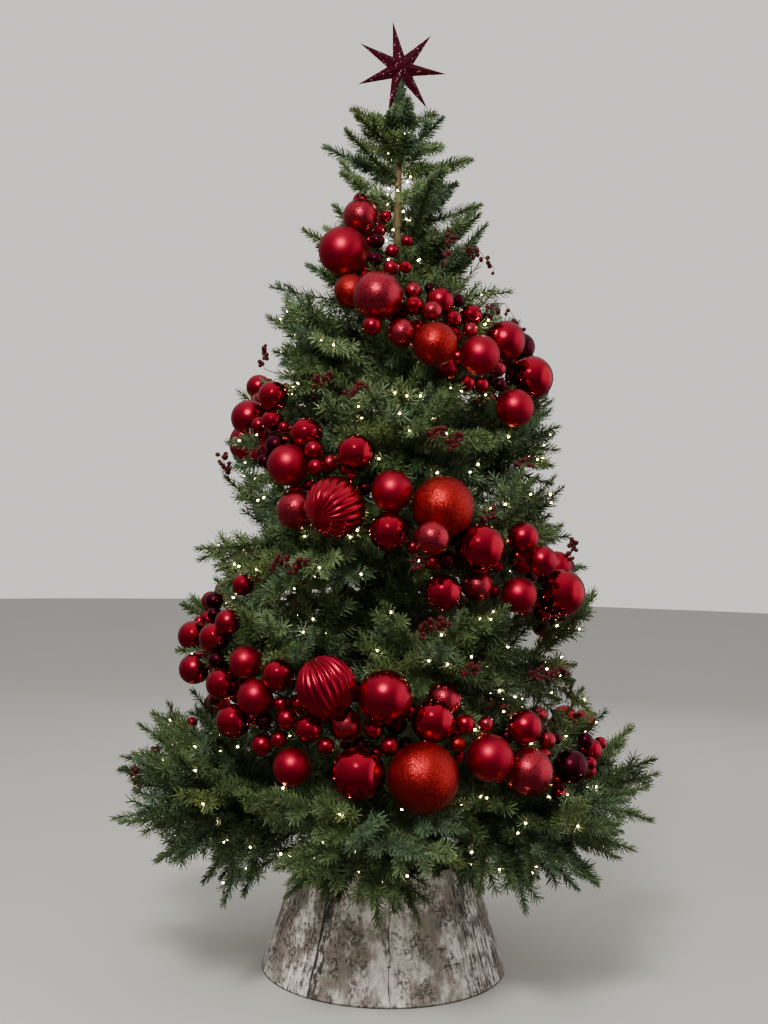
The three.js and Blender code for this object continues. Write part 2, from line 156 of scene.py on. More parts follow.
# The sprays of the lowest masses that hang over the collar.
HANGING_COUNT = 9
HANGING_PLACE = 0.02
HANGING_STEP = 0.055
HANGING_YAW = 34
HANGING_YAW_SPREAD = 26
HANGING_PITCH = -46
HANGING_PITCH_SPREAD = 16
# How a spray's length is fitted to its mass's space: the shortest that is kept, the steps in which
# it is tried and shrunk, and how far the space passes the mass's edges and keeps from the collar.
SHORTEST_SPRAY = 0.085
ROOM_STEP = 0.006
SHRINK = 0.9
OVERLAP = 0.03
SPACE_BELOW = 0.055
SPACE_ABOVE = 0.06
SPACE_START = 0.03
COLLAR_CLEAR = 0.014

# Short sprays that fill the middle of the crown: on the boughs, straight off the pole, and in rings
# that droop over the collar, each ring with its height, pitch in degrees and length.
INNER_SPRAY_LENGTH = 0.15
INNER_SPRAY_YAW = 50
INNER_SPRAY_PITCHES = [48, -42, -18, 24]
POLE_SPRAY_LOW = 0.5
POLE_SPRAY_TOP = 1.66
POLE_SPRAY_COUNT = 150
POLE_SPRAY_LENGTH = 0.26
POLE_SPRAY_PITCHES = np.array([30, -26, 4, 46])
DROOPING_COUNT = 42
DROOPING_RINGS = np.array([(0.475, -15, 0.36), (0.43, -25, 0.34), (0.42, -25, 0.4)])

# Side shoots of a spray: where their tips come level along it, their angle in degrees, how far they
# stray from both, how far they rise against how far out they reach, and the share that is grown.
# Shoots bend upwards by the lift, and a side shoot also forwards.
SIDE_TIPS = np.array([0.36, 0.6, 0.84])
SIDE_TIP_SPREAD = 0.05
SIDE_ANGLE = 44
SIDE_ANGLE_SPREAD = 8
SIDE_RISE = (-0.3, 0.45)
SIDE_KEPT = 0.9
SIDE_KEPT_ON_WHORLS = 0.34
MAIN_LIFT = (-0.03, 0.16)
SIDE_LIFT = 0.1
SIDE_FORWARD = 0.12

# What keeps baubles in sight: the places on a shoot that are looked at, how much of a bauble's radius
# is kept clear of them and how much past it, and how far outwards against the way it is seen from.
CLEARED_SHARES = (0.35, 0.65, 0.95)
CLEARED_RADIUS = 0.86
CLEARED_PAST = 0.004
CLEARED_OUTWARDS = 0.6

# Needles: degrees from one to the next round a shoot, how far they lean from it at its foot and how
# much less at its tip, with a power for how late that sets in, how much shorter they are there and on
# the leader, how far they are twisted, half the width of their blunt end as a share of that at their
# foot, the fewest on a shoot, and their density deep in the crown and on the top's single shoots,
# against the outside's, with the depths between which it grows. The gap that they keep from baubles.
GOLDEN_TURN = 137.5
NEEDLE_LEAN = 57
NEEDLE_LEAN_LESS = 30
NEEDLE_LEAN_SPREAD = 9
TIP_POWER = 8
TIP_SHORTER = 0.22
LEADER_SHORTER = 0.56
NEEDLE_TWIST = 1.2
BLUNT_WIDTH = 0.36
FEWEST_NEEDLES = 6
DENSITY_DEPTHS = (0.35, 0.72)
INNER_DENSITY = 0.38
TOP_HEIGHT = 1.62
LOW_HEIGHT = 0.35
TOP_DENSITY = 1.9
NEEDLE_CLEAR = 0.007

# The leader, a brush of shoots round the pole's bare top. Upright ones, as the heights of their foot
# and tip, stand on its line and then round the star's holder. The others lean out below it.
LEADER_HEIGHT = 2.0
LEADER_LINE = [(1.9, 1.95), (1.945, 1.995), (1.99, 2.03)]
LEADER_ROUND = [(2.004, 2.062)] * 4
LEADER_ROUND_RADIUS = 0.007
LEADER_LEANING = 12
LEADER_LEANING_FOOT = 1.845
LEADER_LEANING_STEP = 0.009
LEADER_LEANING_LENGTH = 0.075
LEADER_LEANING_PITCH = 64

# Shares of the mid, blue, fresh, dark and olive greens among the sprays inside and outside, and
# among the outside ones whose tips are below a height. A spray is inside up to a depth in the crown.
# The larger share of dark green inside and low down is painted shade.
INNER_SHADED_GREENS = [0.33, 0.06, 0.03, 0.33, 0.25]
OUTER_GREENS = [0.46, 0.26, 0.13, 0.09, 0.06]
LOW_SHADED_GREENS = [0.42, 0.21, 0.05, 0.26, 0.06]
LOW_TIP = 0.68
INSIDE_DEPTH = 0.52
INSIDE_SPREAD = 0.12

# The garland's line: the heights at which it passes each azimuth, wound from the top down, and how
# far it lies from the pole by height. The azimuths of its spans at the back, and of the whole line.
GARLAND_AZIMUTHS = [200, 270, 330, 360, 540, 585, 630, 675, 720, 900, 945, 990, 1035, 1075, 1250]
GARLAND_HEIGHTS = [1.74, 1.55, 1.42, 1.35, 1.29, 1.188, 1.066, 0.931, 0.875, 0.79, 0.714, 0.617,
                   0.537, 0.475, 0.5]
GARLAND_LEVELS = [0.45, 0.77, 0.87, 1.07, 1.28, 1.378, 1.5, 1.676, 1.76]
GARLAND_RADII = [0.52, 0.475, 0.43, 0.4, 0.345, 0.325, 0.27, 0.15, 0.1]
GARLAND_BACKS = [(370, 528), (732, 878), (1102, 1235)]
GARLAND_DEEPS = [(200, 1250)]

# The distances from the camera between which a pixel's ray is searched.
RAY_NEAR = 2.4
RAY_FAR = 3.6

# A bauble of the photograph stands out from the garland's round by a share of its radius past a
# small one's. It slides by steps off the rest, and forward only where that is so many times shorter
# than back. Those at the pixels in front, which the photograph shows before larger ones, always slide
# forward. All are kept clear of shoots for a length towards the camera.
STANDS_OUT = 0.6
SMALL_RADIUS = 0.02
SLIDE_STEP = 0.003
SLIDE_STEPS = 50
FORWARD_COST = 1.6
IN_FRONT = {(432, 538)}
SIGHT_LENGTH = 0.3

# Baubles that are dealt out: how much commoner small ones are, how often one is tried, within how
# many degrees, how much smaller it gets each time, down to the smallest radius, and the gap it keeps.
SMALLER_POWER = 1.6
TRIES = 14
TRY_DEGREES = 3
TRY_SHRINK = 0.93
SMALLEST_BAUBLE = 0.012
BAUBLE_GAP = 0.0005

# Shares of the finishes, with their smallest and largest radius in metres: at the back of the
# garland, and of the small baubles that close the gaps deeper in it.
BACK_MIX = {"satin": (0.28, 0.022, 0.054), "shiny": (0.24, 0.022, 0.054),
            "matt": (0.13, 0.04, 0.056), "crackle": (0.16, 0.022, 0.054),
            "burgundy": (0.13, 0.022, 0.045), "glitter": (0.06, 0.045, 0.07)}
DEEP_MIX = {"satin": (0.3, 0.014, 0.03), "shiny": (0.35, 0.014, 0.03),
            "burgundy": (0.35, 0.014, 0.03)}

# The crown's radius by height: how far its twigs reach, with hollows between the tiers.
CROWN_LEVELS = [0.13, 0.19, 0.27, 0.35, 0.43, 0.53, 0.62, 0.67, 0.76, 0.86, 0.9, 0.96, 1.04,
                1.12, 1.18, 1.3, 1.36, 1.43, 1.5, 1.59, 1.66, 1.78, 1.91, 1.97, 2.04]
CROWN_RADII = [0.36, 0.43, 0.55, 0.61, 0.645, 0.585, 0.475, 0.435, 0.5, 0.47, 0.44, 0.465, 0.365,
               0.435, 0.385, 0.37, 0.32, 0.355, 0.295, 0.265, 0.22, 0.18, 0.165, 0.13, 0.03]

# Openings in the crown where the photograph shows the wall: x, y and radius in pixels.
OPENINGS = [(258, 328, 15), (252, 528, 11), (206, 530, 14), (200, 512, 12), (212, 582, 12),
            (196, 590, 9), (518, 643, 9), (545, 652, 10), (566, 643, 8), (592, 655, 15),
            (585, 686, 13), (608, 672, 14), (556, 708, 10), (575, 714, 8), (592, 745, 10)]

# Baubles seen in the photograph, by finish: the middle's x and y and the radius, in pixels.
BAUBLES = {
    "matt": [(343, 251, 24), (480, 355, 20), (515, 408, 19), (519, 595, 18), (557, 566, 15),
             (288, 465, 21), (392, 491, 21), (245, 662, 16), (255, 697, 18), (292, 767, 19),
             (490, 758, 23)],
    "satin": [(448, 368, 11), (262, 745, 11), (440, 301, 14), (372, 326, 10), (505, 341, 20),
              (386, 216, 6), (392, 251, 7), (407, 241, 6), (391, 268, 8), (249, 418, 18),
              (259, 425, 8), (284, 427, 6), (314, 450, 10), (316, 467, 9), (351, 476, 5),
              (413, 547, 7), (523, 538, 16), (524, 560, 15), (542, 561, 15), (228, 622, 13),
              (194, 669, 15), (281, 704, 8), (287, 719, 11), (279, 739, 8), (326, 746, 9),
              (385, 697, 27), (390, 746, 10), (465, 724, 10), (525, 727, 17), (555, 774, 12)],
    "shiny": [(414, 306, 10), (453, 319, 9), (467, 383, 8), (481, 385, 8), (531, 378, 22),
              (273, 396, 15), (272, 421, 11), (306, 434, 17), (356, 453, 19), (389, 532, 20),
              (480, 548, 25), (443, 593, 19), (561, 593, 24), (243, 585, 11), (193, 636, 15),
              (214, 638, 15), (222, 684, 16), (278, 675, 16), (233, 721, 17), (309, 729, 14),
              (374, 730, 10), (358, 774, 27), (433, 721, 22)],
    "glitter": [(351, 291, 17), (435, 344, 22), (443, 507, 31), (423, 778, 35), (458, 744, 8)],
    "crackle": [(361, 217, 18), (378, 296, 25), (402, 333, 15), (413, 291, 9), (432, 311, 10),
                (470, 330, 8), (498, 369, 8), (330, 463, 9), (296, 510, 20), (432, 538, 17),
                (478, 586, 16), (346, 725, 17), (444, 700, 18), (486, 724, 8), (547, 740, 9),
                (529, 772, 24)],
    "burgundy": [(377, 241, 8), (375, 259, 8), (500, 385, 7), (521, 347, 14), (276, 445, 11),
                 (265, 461, 8), (447, 561, 9), (214, 601, 9), (214, 614, 7), (217, 660, 9),
                 (215, 700, 6), (264, 721, 9), (396, 724, 11), (507, 736, 8), (571, 767, 17)],
    "fluted": [(335, 507, 31)],
    "ribbed": [(326, 686, 30)],
}
# Berry picks by pixel: where each stem comes out of the foliage, and its tip.
BERRY_PICKS = [(445, 266, 452, 234), (462, 248, 494, 268), (484, 304, 528, 338), (309, 385, 330, 376),
               (345, 398, 362, 384), (428, 440, 444, 430), (446, 448, 462, 438), (514, 470, 530, 462),
               (268, 570, 286, 562), (290, 572, 306, 562), (410, 570, 428, 556), (478, 520, 494, 512),
               (416, 636, 432, 624), (432, 632, 446, 622), (460, 676, 478, 666), (528, 680, 544, 670),
               (546, 678, 566, 672)]
BERRIES_ON_PICK = 13


def linear(hex_colour):
    """An sRGB hex colour as linear red, green, blue and alpha."""
    channels = [int(hex_colour[i:i + 2], 16) / 255 for i in (1, 3, 5)]
    bent = [c / 12.92 if c <= 0.04045 else ((c + 0.055) / 1.055) ** 2.4 for c in channels]
    return (*bent, 1.0)


def chance(seed, count):
    """The source's rule: a number from 0 to 1, the fraction left of a tall sine of seed and count."""
    wave = np.sin(seed * 12.9898 + count * 78.233) * 43758.5453
    return wave - np.floor(wave)


def spread(seed, count):
    """A number from -1 to 1, by the same rule."""
    return 2 * chance(seed, count) - 1


def unit(vectors):
    """Each vector divided by its length."""
    lengths = np.linalg.norm(vectors, axis=-1, keepdims=True)
    return vectors / np.maximum(lengths, 1e-12)


def frames(ways):
    """Two directions square to each way: across is level, and above is across times the way."""
    upright = np.abs(ways[..., 2:3]) > 0.95
    reference = np.where(upright, [1.0, 0.0, 0.0], [0.0, 0.0, 1.0])
    across = unit(np.cross(ways, reference))
    return across, np.cross(across, ways)


def turned_about(vectors, axes, angles):
    """Vectors square to their axes, turned about them: v cos a + (axis x v) sin a."""
    angles = np.asarray(angles)[..., None]
    return vectors * np.cos(angles) + np.cross(axes, vectors) * np.sin(angles)


def outwards(points):
    """Level directions from the pole to points."""
    return unit(points * [1, 1, 0])


def in_plane(azimuth, out, side, height):
    """Points by distance from the pole, sideways offset and height, in a bough's upright plane."""
    x = out * np.cos(azimuth) - side * np.sin(azimuth)
    y = out * np.sin(azimuth) + side * np.cos(azimuth)
    return np.stack(np.broadcast_arrays(x, y, height), axis=-1)


def ways_of(azimuth, yaw, pitch):
    """Directions that turn sideways by yaw from the bough's azimuth, and up by pitch, in radians."""
    return in_plane(azimuth + yaw, np.cos(pitch), 0, np.sin(pitch))


def joined(parts):
    """Several (corners, triangles) as one, each part's corner numbers moved up past those before."""
    starts = np.cumsum([0] + [len(corners) for corners, _ in parts[:-1]])
    corners = np.concatenate([corners for corners, _ in parts])
    triangles = np.concatenate([faces + start for (_, faces), start in zip(parts, starts)])
    return corners, triangles


def stacked(rows):
    """Rows of several arrays each, as one array for each column."""
    return [np.concatenate(column) for column in zip(*rows)]


def grid_triangles(rows, columns, wrap):
    """Two triangles for each cell of a grid of corners, joined round its columns where it wraps."""
    row, column = np.meshgrid(np.arange(rows - 1), np.arange(columns if wrap else columns - 1),
                              indexing="ij")
    a = row * columns + column
    b = row * columns + (column + 1) % columns
    lower = np.stack([a, b, b + columns], axis=-1)
    upper = np.stack([a, b + columns, a + columns], axis=-1)
    return np.stack([lower, upper], axis=2).reshape(-1, 3)


def tubes(paths, radii, sides):
    """Round limbs along paths of points (n, rings, 3): each ring is its point plus its radius times
    (across cos a + above sin a) for a round the circle. radii are one for each ring, or one for each
    corner of it. Both ends are closed with fans."""
    count, rings = paths.shape[:2]
    ways = unit(np.gradient(paths, axis=1))
    across, above = frames(ways)
    angle = (2 * np.pi * np.arange(sides) / sides)[:, None]
    ring = across[:, :, None] * np.cos(angle) + above[:, :, None] * np.sin(angle)
    if radii.ndim == 2:
        radii = radii[..., None]
    corners = paths[:, :, None] + radii[..., None] * ring
    wall = grid_triangles(rings, sides, True)[:, ::-1]
    k = np.arange(1, sides - 1)
    foot = np.stack([np.zeros_like(k), k, k + 1], axis=1)
    head = np.stack([np.zeros_like(k), k + 1, k], axis=1) + (rings - 1) * sides
    one = np.concatenate([wall, foot, head])
    triangles = one + (np.arange(count) * rings * sides)[:, None, None]
    return corners.reshape(-1, 3), triangles.reshape(-1, 3)


def wires(paths, radius, sides):
    """Tubes of one radius along paths of points."""
    return tubes(paths, np.full(paths.shape[:2], radius), sides)


def lathe(profile, sides, ripple=None):
    """A closed shape turned about +Z from (radius, height) points that start and end on the axis:
    ring corners are (r cos a, r sin a, h), all times the ripple at that angle and row."""
    profile = np.asarray(profile, float)
    angle = 2 * np.pi * np.arange(sides) / sides
    rings = profile[1:-1]
    factor = ripple(rings, angle) if ripple else np.ones((len(rings), sides))
    body = in_plane(angle, rings[:, :1] * factor, 0, rings[:, 1:] * factor)
    ends = np.array([[0, 0, profile[0, 1]], [0, 0, profile[-1, 1]]])
    corners = np.concatenate([body.reshape(-1, 3), ends])
    k = np.arange(sides)
    after = (k + 1) % sides
    last = (len(rings) - 1) * sides
    foot = np.stack([np.full(sides, len(corners) - 2), after, k], axis=1)
    head = np.stack([np.full(sides, len(corners) - 1), last + k, last + after], axis=1)
    return corners, np.concatenate([grid_triangles(len(rings), sides, True), foot, head])


def copies(shape, places, sizes, axes):
    """A shape set down many times: scaled, with its +Z along each axis, and moved to each place."""
    corners, triangles = shape
    across, above = frames(axes)
    basis = np.stack([above, across, axes], axis=1)
    moved = places[:, None] + sizes[:, None, None] * np.einsum("mk,nkj->nmj", corners, basis)
    faces = triangles + (np.arange(len(places)) * len(corners))[:, None, None]
    return moved.reshape(-1, 3), faces.reshape(-1, 3)


def placed(name, data):
    """A new object for some data, in the scene's collection."""
    thing = bpy.data.objects.new(name, data)
    bpy.context.scene.collection.objects.link(thing)
    return thing


def mesh_piece(name, shape, material, smooth=True, replaced=(), uv=None):
    """A mesh object from corners and triangles, set in whole arrays. It rides on the root body, and
    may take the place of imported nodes."""
    corners, triangles = shape
    mesh = bpy.data.meshes.new(name)
    mesh.vertices.add(len(corners))
    mesh.vertices.foreach_set("co", np.ascontiguousarray(corners, np.float32).ravel())
    mesh.loops.add(triangles.size)
    mesh.loops.foreach_set("vertex_index", np.ascontiguousarray(triangles, np.int32).ravel())
    mesh.polygons.add(len(triangles))
    mesh.polygons.foreach_set("loop_start", np.arange(0, triangles.size, 3, dtype=np.int32))
    mesh.update(calc_edges=True)
    mesh.polygons.foreach_set("use_smooth", np.full(len(triangles), smooth))
    if uv is not None:
        layer = mesh.uv_layers.new(name="surface")
        layer.data.foreach_set("uv", uv[triangles.ravel()].astype(np.float32).ravel())
    mesh.materials.append(material)
    piece = placed(name, mesh)
    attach(piece, "root")
    if replaced:
        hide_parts(*replaced)


def add(tree, kind, settings=None, inputs=None):
    """Adds one node. settings are its properties, and "stops" a colour ramp's places and colours.
    inputs are its sockets' values, or the sockets that feed them."""
    node = tree.nodes.new(kind)
    for name, value in (settings or {}).items():
        if name == "stops":
            ramp = node.color_ramp.elements
            while len(ramp) < len(value):
                ramp.new(1.0)
            for stop, (place, colour) in zip(ramp, value):
                stop.position = place
                stop.color = colour
        else:
            setattr(node, name, value)
    for name, value in (inputs or {}).items():
        if isinstance(value, bpy.types.NodeSocket):
            tree.links.new(value, node.inputs[name])
        else:
            node.inputs[name].default_value = value
    return node


def finish(name, **values):
    """A material with one Principled shader. values are its sockets by name, _ standing for a space."""
    material = bpy.data.materials.new(name)
    material.use_nodes = True
    tree = material.node_tree
    shader = tree.nodes["Principled BSDF"]
    for socket, value in values.items():
        shader.inputs[socket.replace("_", " ")].default_value = value
    return material, tree, shader


def shade(colour, factor):
    """A colour made darker or lighter by a factor, with no channel above 1."""
    return [*(min(1.0, factor * channel) for channel in colour[:3]), 1]


def object_place(tree):
    """The object's own coordinates, in metres."""
    return add(tree, "ShaderNodeTexCoord").outputs["Object"]


def noise(tree, place, scale, detail=2.0):
    """Cloudy noise from 0 to 1, finer by its scale per metre."""
    return add(tree, "ShaderNodeTexNoise", inputs={
        "Vector": place, "Scale": scale, "Detail": detail}).outputs["Fac"]


def worked(tree, operation, *values):
    """One sum worked on values or sockets."""
    return add(tree, "ShaderNodeMath", {"operation": operation},
               dict(enumerate(values))).outputs[0]


def times(tree, first, second):
    """Two values or sockets multiplied."""
    return worked(tree, "MULTIPLY", first, second)


def stepped(tree, value, low, high, last=1.0):
    """A smooth step from 0 to the last value, where a value goes from low to high."""
    return add(tree, "ShaderNodeMapRange", {"interpolation_type": "SMOOTHSTEP"}, {
        "Value": value, "From Min": low, "From Max": high, "To Max": last}).outputs[0]


def blended(tree, share, first, second):
    """Two colours or sockets mixed by a share."""
    mix = add(tree, "ShaderNodeMix", {"data_type": "RGBA"}, {0: share, 6: first, 7: second})
    return mix.outputs[2]


def roughened(tree, shader, value, low, high):
    """Roughness that goes from low to high with a value."""
    rough = add(tree, "ShaderNodeMapRange", inputs={"Value": value, "To Min": low, "To Max": high})
    tree.links.new(rough.outputs[0], shader.inputs["Roughness"])


def bumped(tree, shader, height, strength, distance, invert=False):
    """Relief by a height value, as deep as the distance in metres."""
    bump = add(tree, "ShaderNodeBump", {"invert": invert}, {
        "Height": height, "Strength": strength, "Distance": distance})
    tree.links.new(bump.outputs[0], shader.inputs["Normal"])


def mottled(name, scale, first, second, **values):
    """A material whose colour wanders between two by cloudy noise. values are its sockets."""
    material, tree, shader = finish(name, **values)
    tone = blended(tree, noise(tree, object_place(tree), scale), first, second)
    tree.links.new(tone, shader.inputs["Base Color"])
    return material


def camera_turn():
    """The camera's rotation: rolled about its own axis, tilted up from straight down, then turned."""
    turn = Matrix.Rotation(math.radians(CAMERA_YAW), 3, "Z")
    tilt = Matrix.Rotation(math.radians(90 - CAMERA_DOWN), 3, "X")
    roll = Matrix.Rotation(math.radians(CAMERA_ROLL), 3, "Z")
    return turn @ tilt @ roll


def pixel_rays(pixels):
    """Unit directions from the camera through pixels of the photograph."""
    across = (pixels[:, 0] - PHOTO_WIDTH / 2) / FOCAL_PIXELS
    up = (PHOTO_HEIGHT / 2 - pixels[:, 1]) / FOCAL_PIXELS
    local = np.stack([across, up, -np.ones(len(pixels))], axis=1)
    return unit(local @ np.array(camera_turn()).T)


def met_on_round(pixels, levels, radii):
    """Where each pixel's ray first comes inside a round body of the given radii by height, or passes
    nearest to it, found among even steps along the ray."""
    rays = pixel_rays(pixels)
    steps = np.linspace(RAY_NEAR, RAY_FAR, 500)
    points = np.array(CAMERA_PLACE) + rays[:, None] * steps[:, None]
    excess = np.hypot(points[..., 0], points[..., 1]) - np.interp(points[..., 2], levels, radii)
    inside = excess <= 0
    first = np.where(inside.any(axis=1), inside.argmax(axis=1), excess.argmin(axis=1))
    return points[np.arange(len(pixels)), first], rays


def garland_point(azimuth, push=0.0):
    """A point on the garland's line: the line's height at that azimuth, in degrees along the winding,
    and the garland's radius at that height plus a push outwards."""
    height = np.interp(azimuth, GARLAND_AZIMUTHS, GARLAND_HEIGHTS)
    out = np.interp(height, GARLAND_LEVELS, GARLAND_RADII) + push
    return in_plane(np.radians(azimuth), out, 0, height)


def slide_along(centre, radius, way, others, radii):
    """How far a ball moves along a way until it clears the others, up to 15 cm."""
    slides = np.arange(SLIDE_STEPS) * SLIDE_STEP
    offsets = (centre + way * slides[:, None])[:, None] - others
    clear = (np.linalg.norm(offsets, axis=2) >= radii + radius).all(axis=1)
    return slides[clear.argmax()] if clear.any() else slides[-1]


def baubles_seen():
    """The photograph's baubles: each lies where its pixel's ray meets the garland, larger ones first,
    and a later one slides along the ray, rather back than forward, until it clears the rest. A few
    hang in front of larger ones."""
    seen = sorted(((kind, *bauble) for kind, group in BAUBLES.items() for bauble in group),
                  key=lambda entry: -entry[3])
    pixels = np.array([(x, y) for _, x, y, _ in seen], float)
    met, rays = met_on_round(pixels, GARLAND_LEVELS, GARLAND_RADII)
    rows = []
    for (kind, x, y, size), point, ray in zip(seen, met, rays):
        radius = size * np.linalg.norm(point - CAMERA_PLACE) / FOCAL_PIXELS
        centre = point - ray * (radius - SMALL_RADIUS) * STANDS_OUT
        if rows:
            others = np.array([row[1] for row in rows])
            radii = np.array([row[2] for row in rows])
            forward = slide_along(centre, radius, -ray, others, radii)
            back = slide_along(centre, radius, ray, others, radii)
            backwards = back < forward * FORWARD_COST and (x, y) not in IN_FRONT
            centre = centre + ray * (back if backwards else -forward)
        rows.append((kind, centre, radius, -ray, SIGHT_LENGTH))
    return rows


def baubles_dealt(rows, spans, step_length, mix, push, rise, sight, seed):
    """Baubles dealt out along spans of the garland's line, each set down where it clears the rest,
    after a few tries in which it gets smaller. mix gives each finish its share and radii, push is how
    far out from the line and rise how far above or below it they may lie."""
    rng = np.random.default_rng(seed)
    kinds, shares = list(mix), [share for share, _, _ in mix.values()]
    for start, end in spans:
        middle = garland_point(np.array([(start + end) / 2]))[0]
        step = math.degrees(step_length / np.hypot(middle[0], middle[1]))
        for azimuth in np.arange(start, end, step):
            kind = str(rng.choice(kinds, p=shares))
            _, small, large = mix[kind]
            wanted = small + (large - small) * rng.random() ** SMALLER_POWER
            for _ in range(TRIES):
                base = garland_point(azimuth + rng.uniform(-TRY_DEGREES, TRY_DEGREES),
                                     rng.uniform(*push))
                centre = base + [0, 0, rng.uniform(-rise, rise)]
                gaps = [np.linalg.norm(row[1] - centre) - row[2] - wanted for row in rows]
                if min(gaps) > BAUBLE_GAP:
                    rows.append((kind, centre, wanted, outwards(centre), sight))
                    break
                wanted = max(SMALLEST_BAUBLE, wanted * TRY_SHRINK)
    return rows


@functools.cache
def bauble_layout():
    """Every bauble: finish, place, radius, the way it is seen from, and how far that way is kept
    clear of shoots. First those in the photograph, then the back's, then small ones deeper in."""
    rows = baubles_seen()
    rows = baubles_dealt(rows, GARLAND_BACKS, 0.03, BACK_MIX, push=(-0.01, 0.03), rise=0.075,
                         sight=0.2, seed=11)
    rows = baubles_dealt(rows, GARLAND_DEEPS, 0.024, DEEP_MIX, push=(-0.06, -0.02), rise=0.065,
                         sight=0.0, seed=12)
    return [np.array(column) for column in zip(*rows)]


def pole_radius(height):
    """The pole's radius at heights: three sections that step in, the last one tapering to the tip."""
    straight = POLE_RADIUS - POLE_STEP * sum(height > joint for joint in POLE_JOINTS)
    share = np.clip((height - POLE_JOINTS[1]) / (POLE_TIP_HEIGHT - POLE_JOINTS[1]), 0, 1)
    return straight + (POLE_TIP_RADIUS - straight) * share


def mass_rule(tier_index, index):
    """Where a mass grows, by the source's rule: its seed, azimuth, edges and the line of its stem."""
    tier = TIERS[tier_index]
    seed = 1 + tier_index * 10 + index
    azimuth = math.radians(tier["turn"] + 360 * index / tier["count"])
    reach = tier["reach"] * (1 - REACH_SPREAD * chance(seed, 1))
    start = (tier["bough_reach"] or pole_radius(tier["height"])) + CLEAR
    return dict(tier, seed=seed, azimuth=azimuth, start=start, reach=reach,
                stem_reach=reach - tier["spray"] * TIP_SHARE, sway=spread(seed, 2) * STEM_SWAY,
                half_turn=math.pi / tier["count"], base=tier["height"] + tier["bough_rise"])


def mass_rules():
    """The rules of all the masses, tier by tier."""
    return [mass_rule(t, i) for t, tier in enumerate(TIERS) for i in range(tier["count"])]


def stem_points(rule, shares):
    """Points on a mass's stem: straight out, swaying sideways with the square of the share, and
    rising as a sine."""
    out = rule["start"] + (rule["stem_reach"] - rule["start"]) * shares
    side = rule["sway"] * (out - rule["start"]) * shares
    height = rule["base"] + rule["rise"] * np.sin(shares * np.pi / 2)
    return in_plane(rule["azimuth"], out, side, height)


def bough_points(rule, shares):
    """Points on a bough: level at its far end, rising as a sine from the pole."""
    start = pole_radius(rule["height"]) - BOUGH_INSIDE
    out = start + (rule["bough_reach"] - start) * shares
    height = rule["height"] + rule["bough_rise"] * np.sin(shares * np.pi / 2)
    return in_plane(rule["azimuth"], out, 0, height)


def crown_edge(height):
    """The crown's radius at heights."""
    return np.interp(height, CROWN_LEVELS, CROWN_RADII)


def in_space(rule, points):
    """Whether points lie in the space of a mass, or no more than a little past its edges."""
    out = np.hypot(points[..., 0], points[..., 1])
    away = np.arctan2(points[..., 1], points[..., 0]) - rule["azimuth"]
    spare = rule["half_turn"] - np.abs(np.arctan2(np.sin(away), np.cos(away)))
    height = points[..., 2]
    level = (height > rule["low"] - SPACE_BELOW) & (height < rule["high"] + SPACE_ABOVE)
    wall = np.interp(height, [0, COLLAR_HEIGHT], [COLLAR_BASE_RADIUS, COLLAR_TOP_RADIUS])
    off_collar = (height > COLLAR_HEIGHT + COLLAR_CLEAR) | (np.abs(out - wall) > COLLAR_CLEAR)
    aside = out * np.sin(spare) > -OVERLAP
    edge = np.minimum(rule["reach"], crown_edge(height))
    return level & off_collar & aside & (out <= edge) & (out > SPACE_START)


def mass_sprays(rule):
    """Roots, ways, rolls and wanted lengths of a mass's sprays: the source's pairs, uprights and tip,
    with more between them wherever a pair's or an upright's number is a fraction."""
    seed, last = rule["seed"], rule["pairs"] - 1
    first = FIRST_PAIR_ON_BOUGH if rule["bough_reach"] else FIRST_PAIR_ON_POLE
    pair = np.repeat(np.arange(0, last * PAIRS_PAST_LAST + 1e-6, 1 / FINER_PAIRS), 2)
    side = np.tile([-1.0, 1.0], len(pair) // 2)
    place = first + (LAST_PAIR - first) * pair / last
    count = 10 + pair * 8 + np.where(side > 0, 4, 0)
    yaw = side * (PAIR_YAW - PAIR_YAW_LESS * place + ANGLE_SPREAD * spread(seed, count))
    pitch = PAIR_PITCH + PAIR_TILT * side * np.cos(np.pi * pair) + (
        ANGLE_SPREAD * spread(seed, count + 1))
    roll = ROLL_SPREAD * spread(seed, count + 2)
    place = place + PAIR_STAGGER * side

    upright = np.arange(-1, 2 + 1e-6, FINER_UPRIGHTS)
    between = np.sin(np.pi * upright) ** 2
    up_count = 60 + 5 * upright
    up_place = UPRIGHT_PLACE + UPRIGHT_STEP * upright
    up_yaw = UPRIGHT_YAW * spread(seed, up_count) * (1 + 1.5 * between)
    up_pitch = UPRIGHT_LIFT + UPRIGHT_TILT * np.cos(np.pi * upright) + (
        ANGLE_SPREAD * spread(seed, up_count + 1))
    up_roll = ROLL_SPREAD * spread(seed, up_count + 2)

    tip_yaw = math.degrees(rule["sway"]) + STEM_TIPS[:, 0]
    tip_pitch = TIP_PITCH + TIP_SPREAD * spread(seed, 3) + STEM_TIPS[:, 1]
    tip_roll = ROLL_SPREAD * spread(seed, np.array([4, 5, 6, 7]))

    hung = np.arange(HANGING_COUNT if rule["name"] == "lowest" else 0)
    hung_place = HANGING_PLACE + HANGING_STEP * hung
    hung_yaw = np.where(hung % 2, 1, -1) * (
        HANGING_YAW + HANGING_YAW_SPREAD * spread(seed, 90 + hung))
    hung_pitch = HANGING_PITCH + HANGING_PITCH_SPREAD * spread(seed, 100 + hung)

    places, yaws, pitches, rolls = stacked([
        (place, yaw, pitch, roll), (up_place, up_yaw, up_pitch, up_roll),
        (STEM_TIPS[:, 2], tip_yaw, tip_pitch, tip_roll),
        (hung_place, hung_yaw, hung_pitch, hung_yaw / 60)])
    ways = ways_of(rule["azimuth"], np.radians(yaws), np.radians(pitches))
    return stem_points(rule, places), ways, rolls, np.full(len(places), rule["spray"])


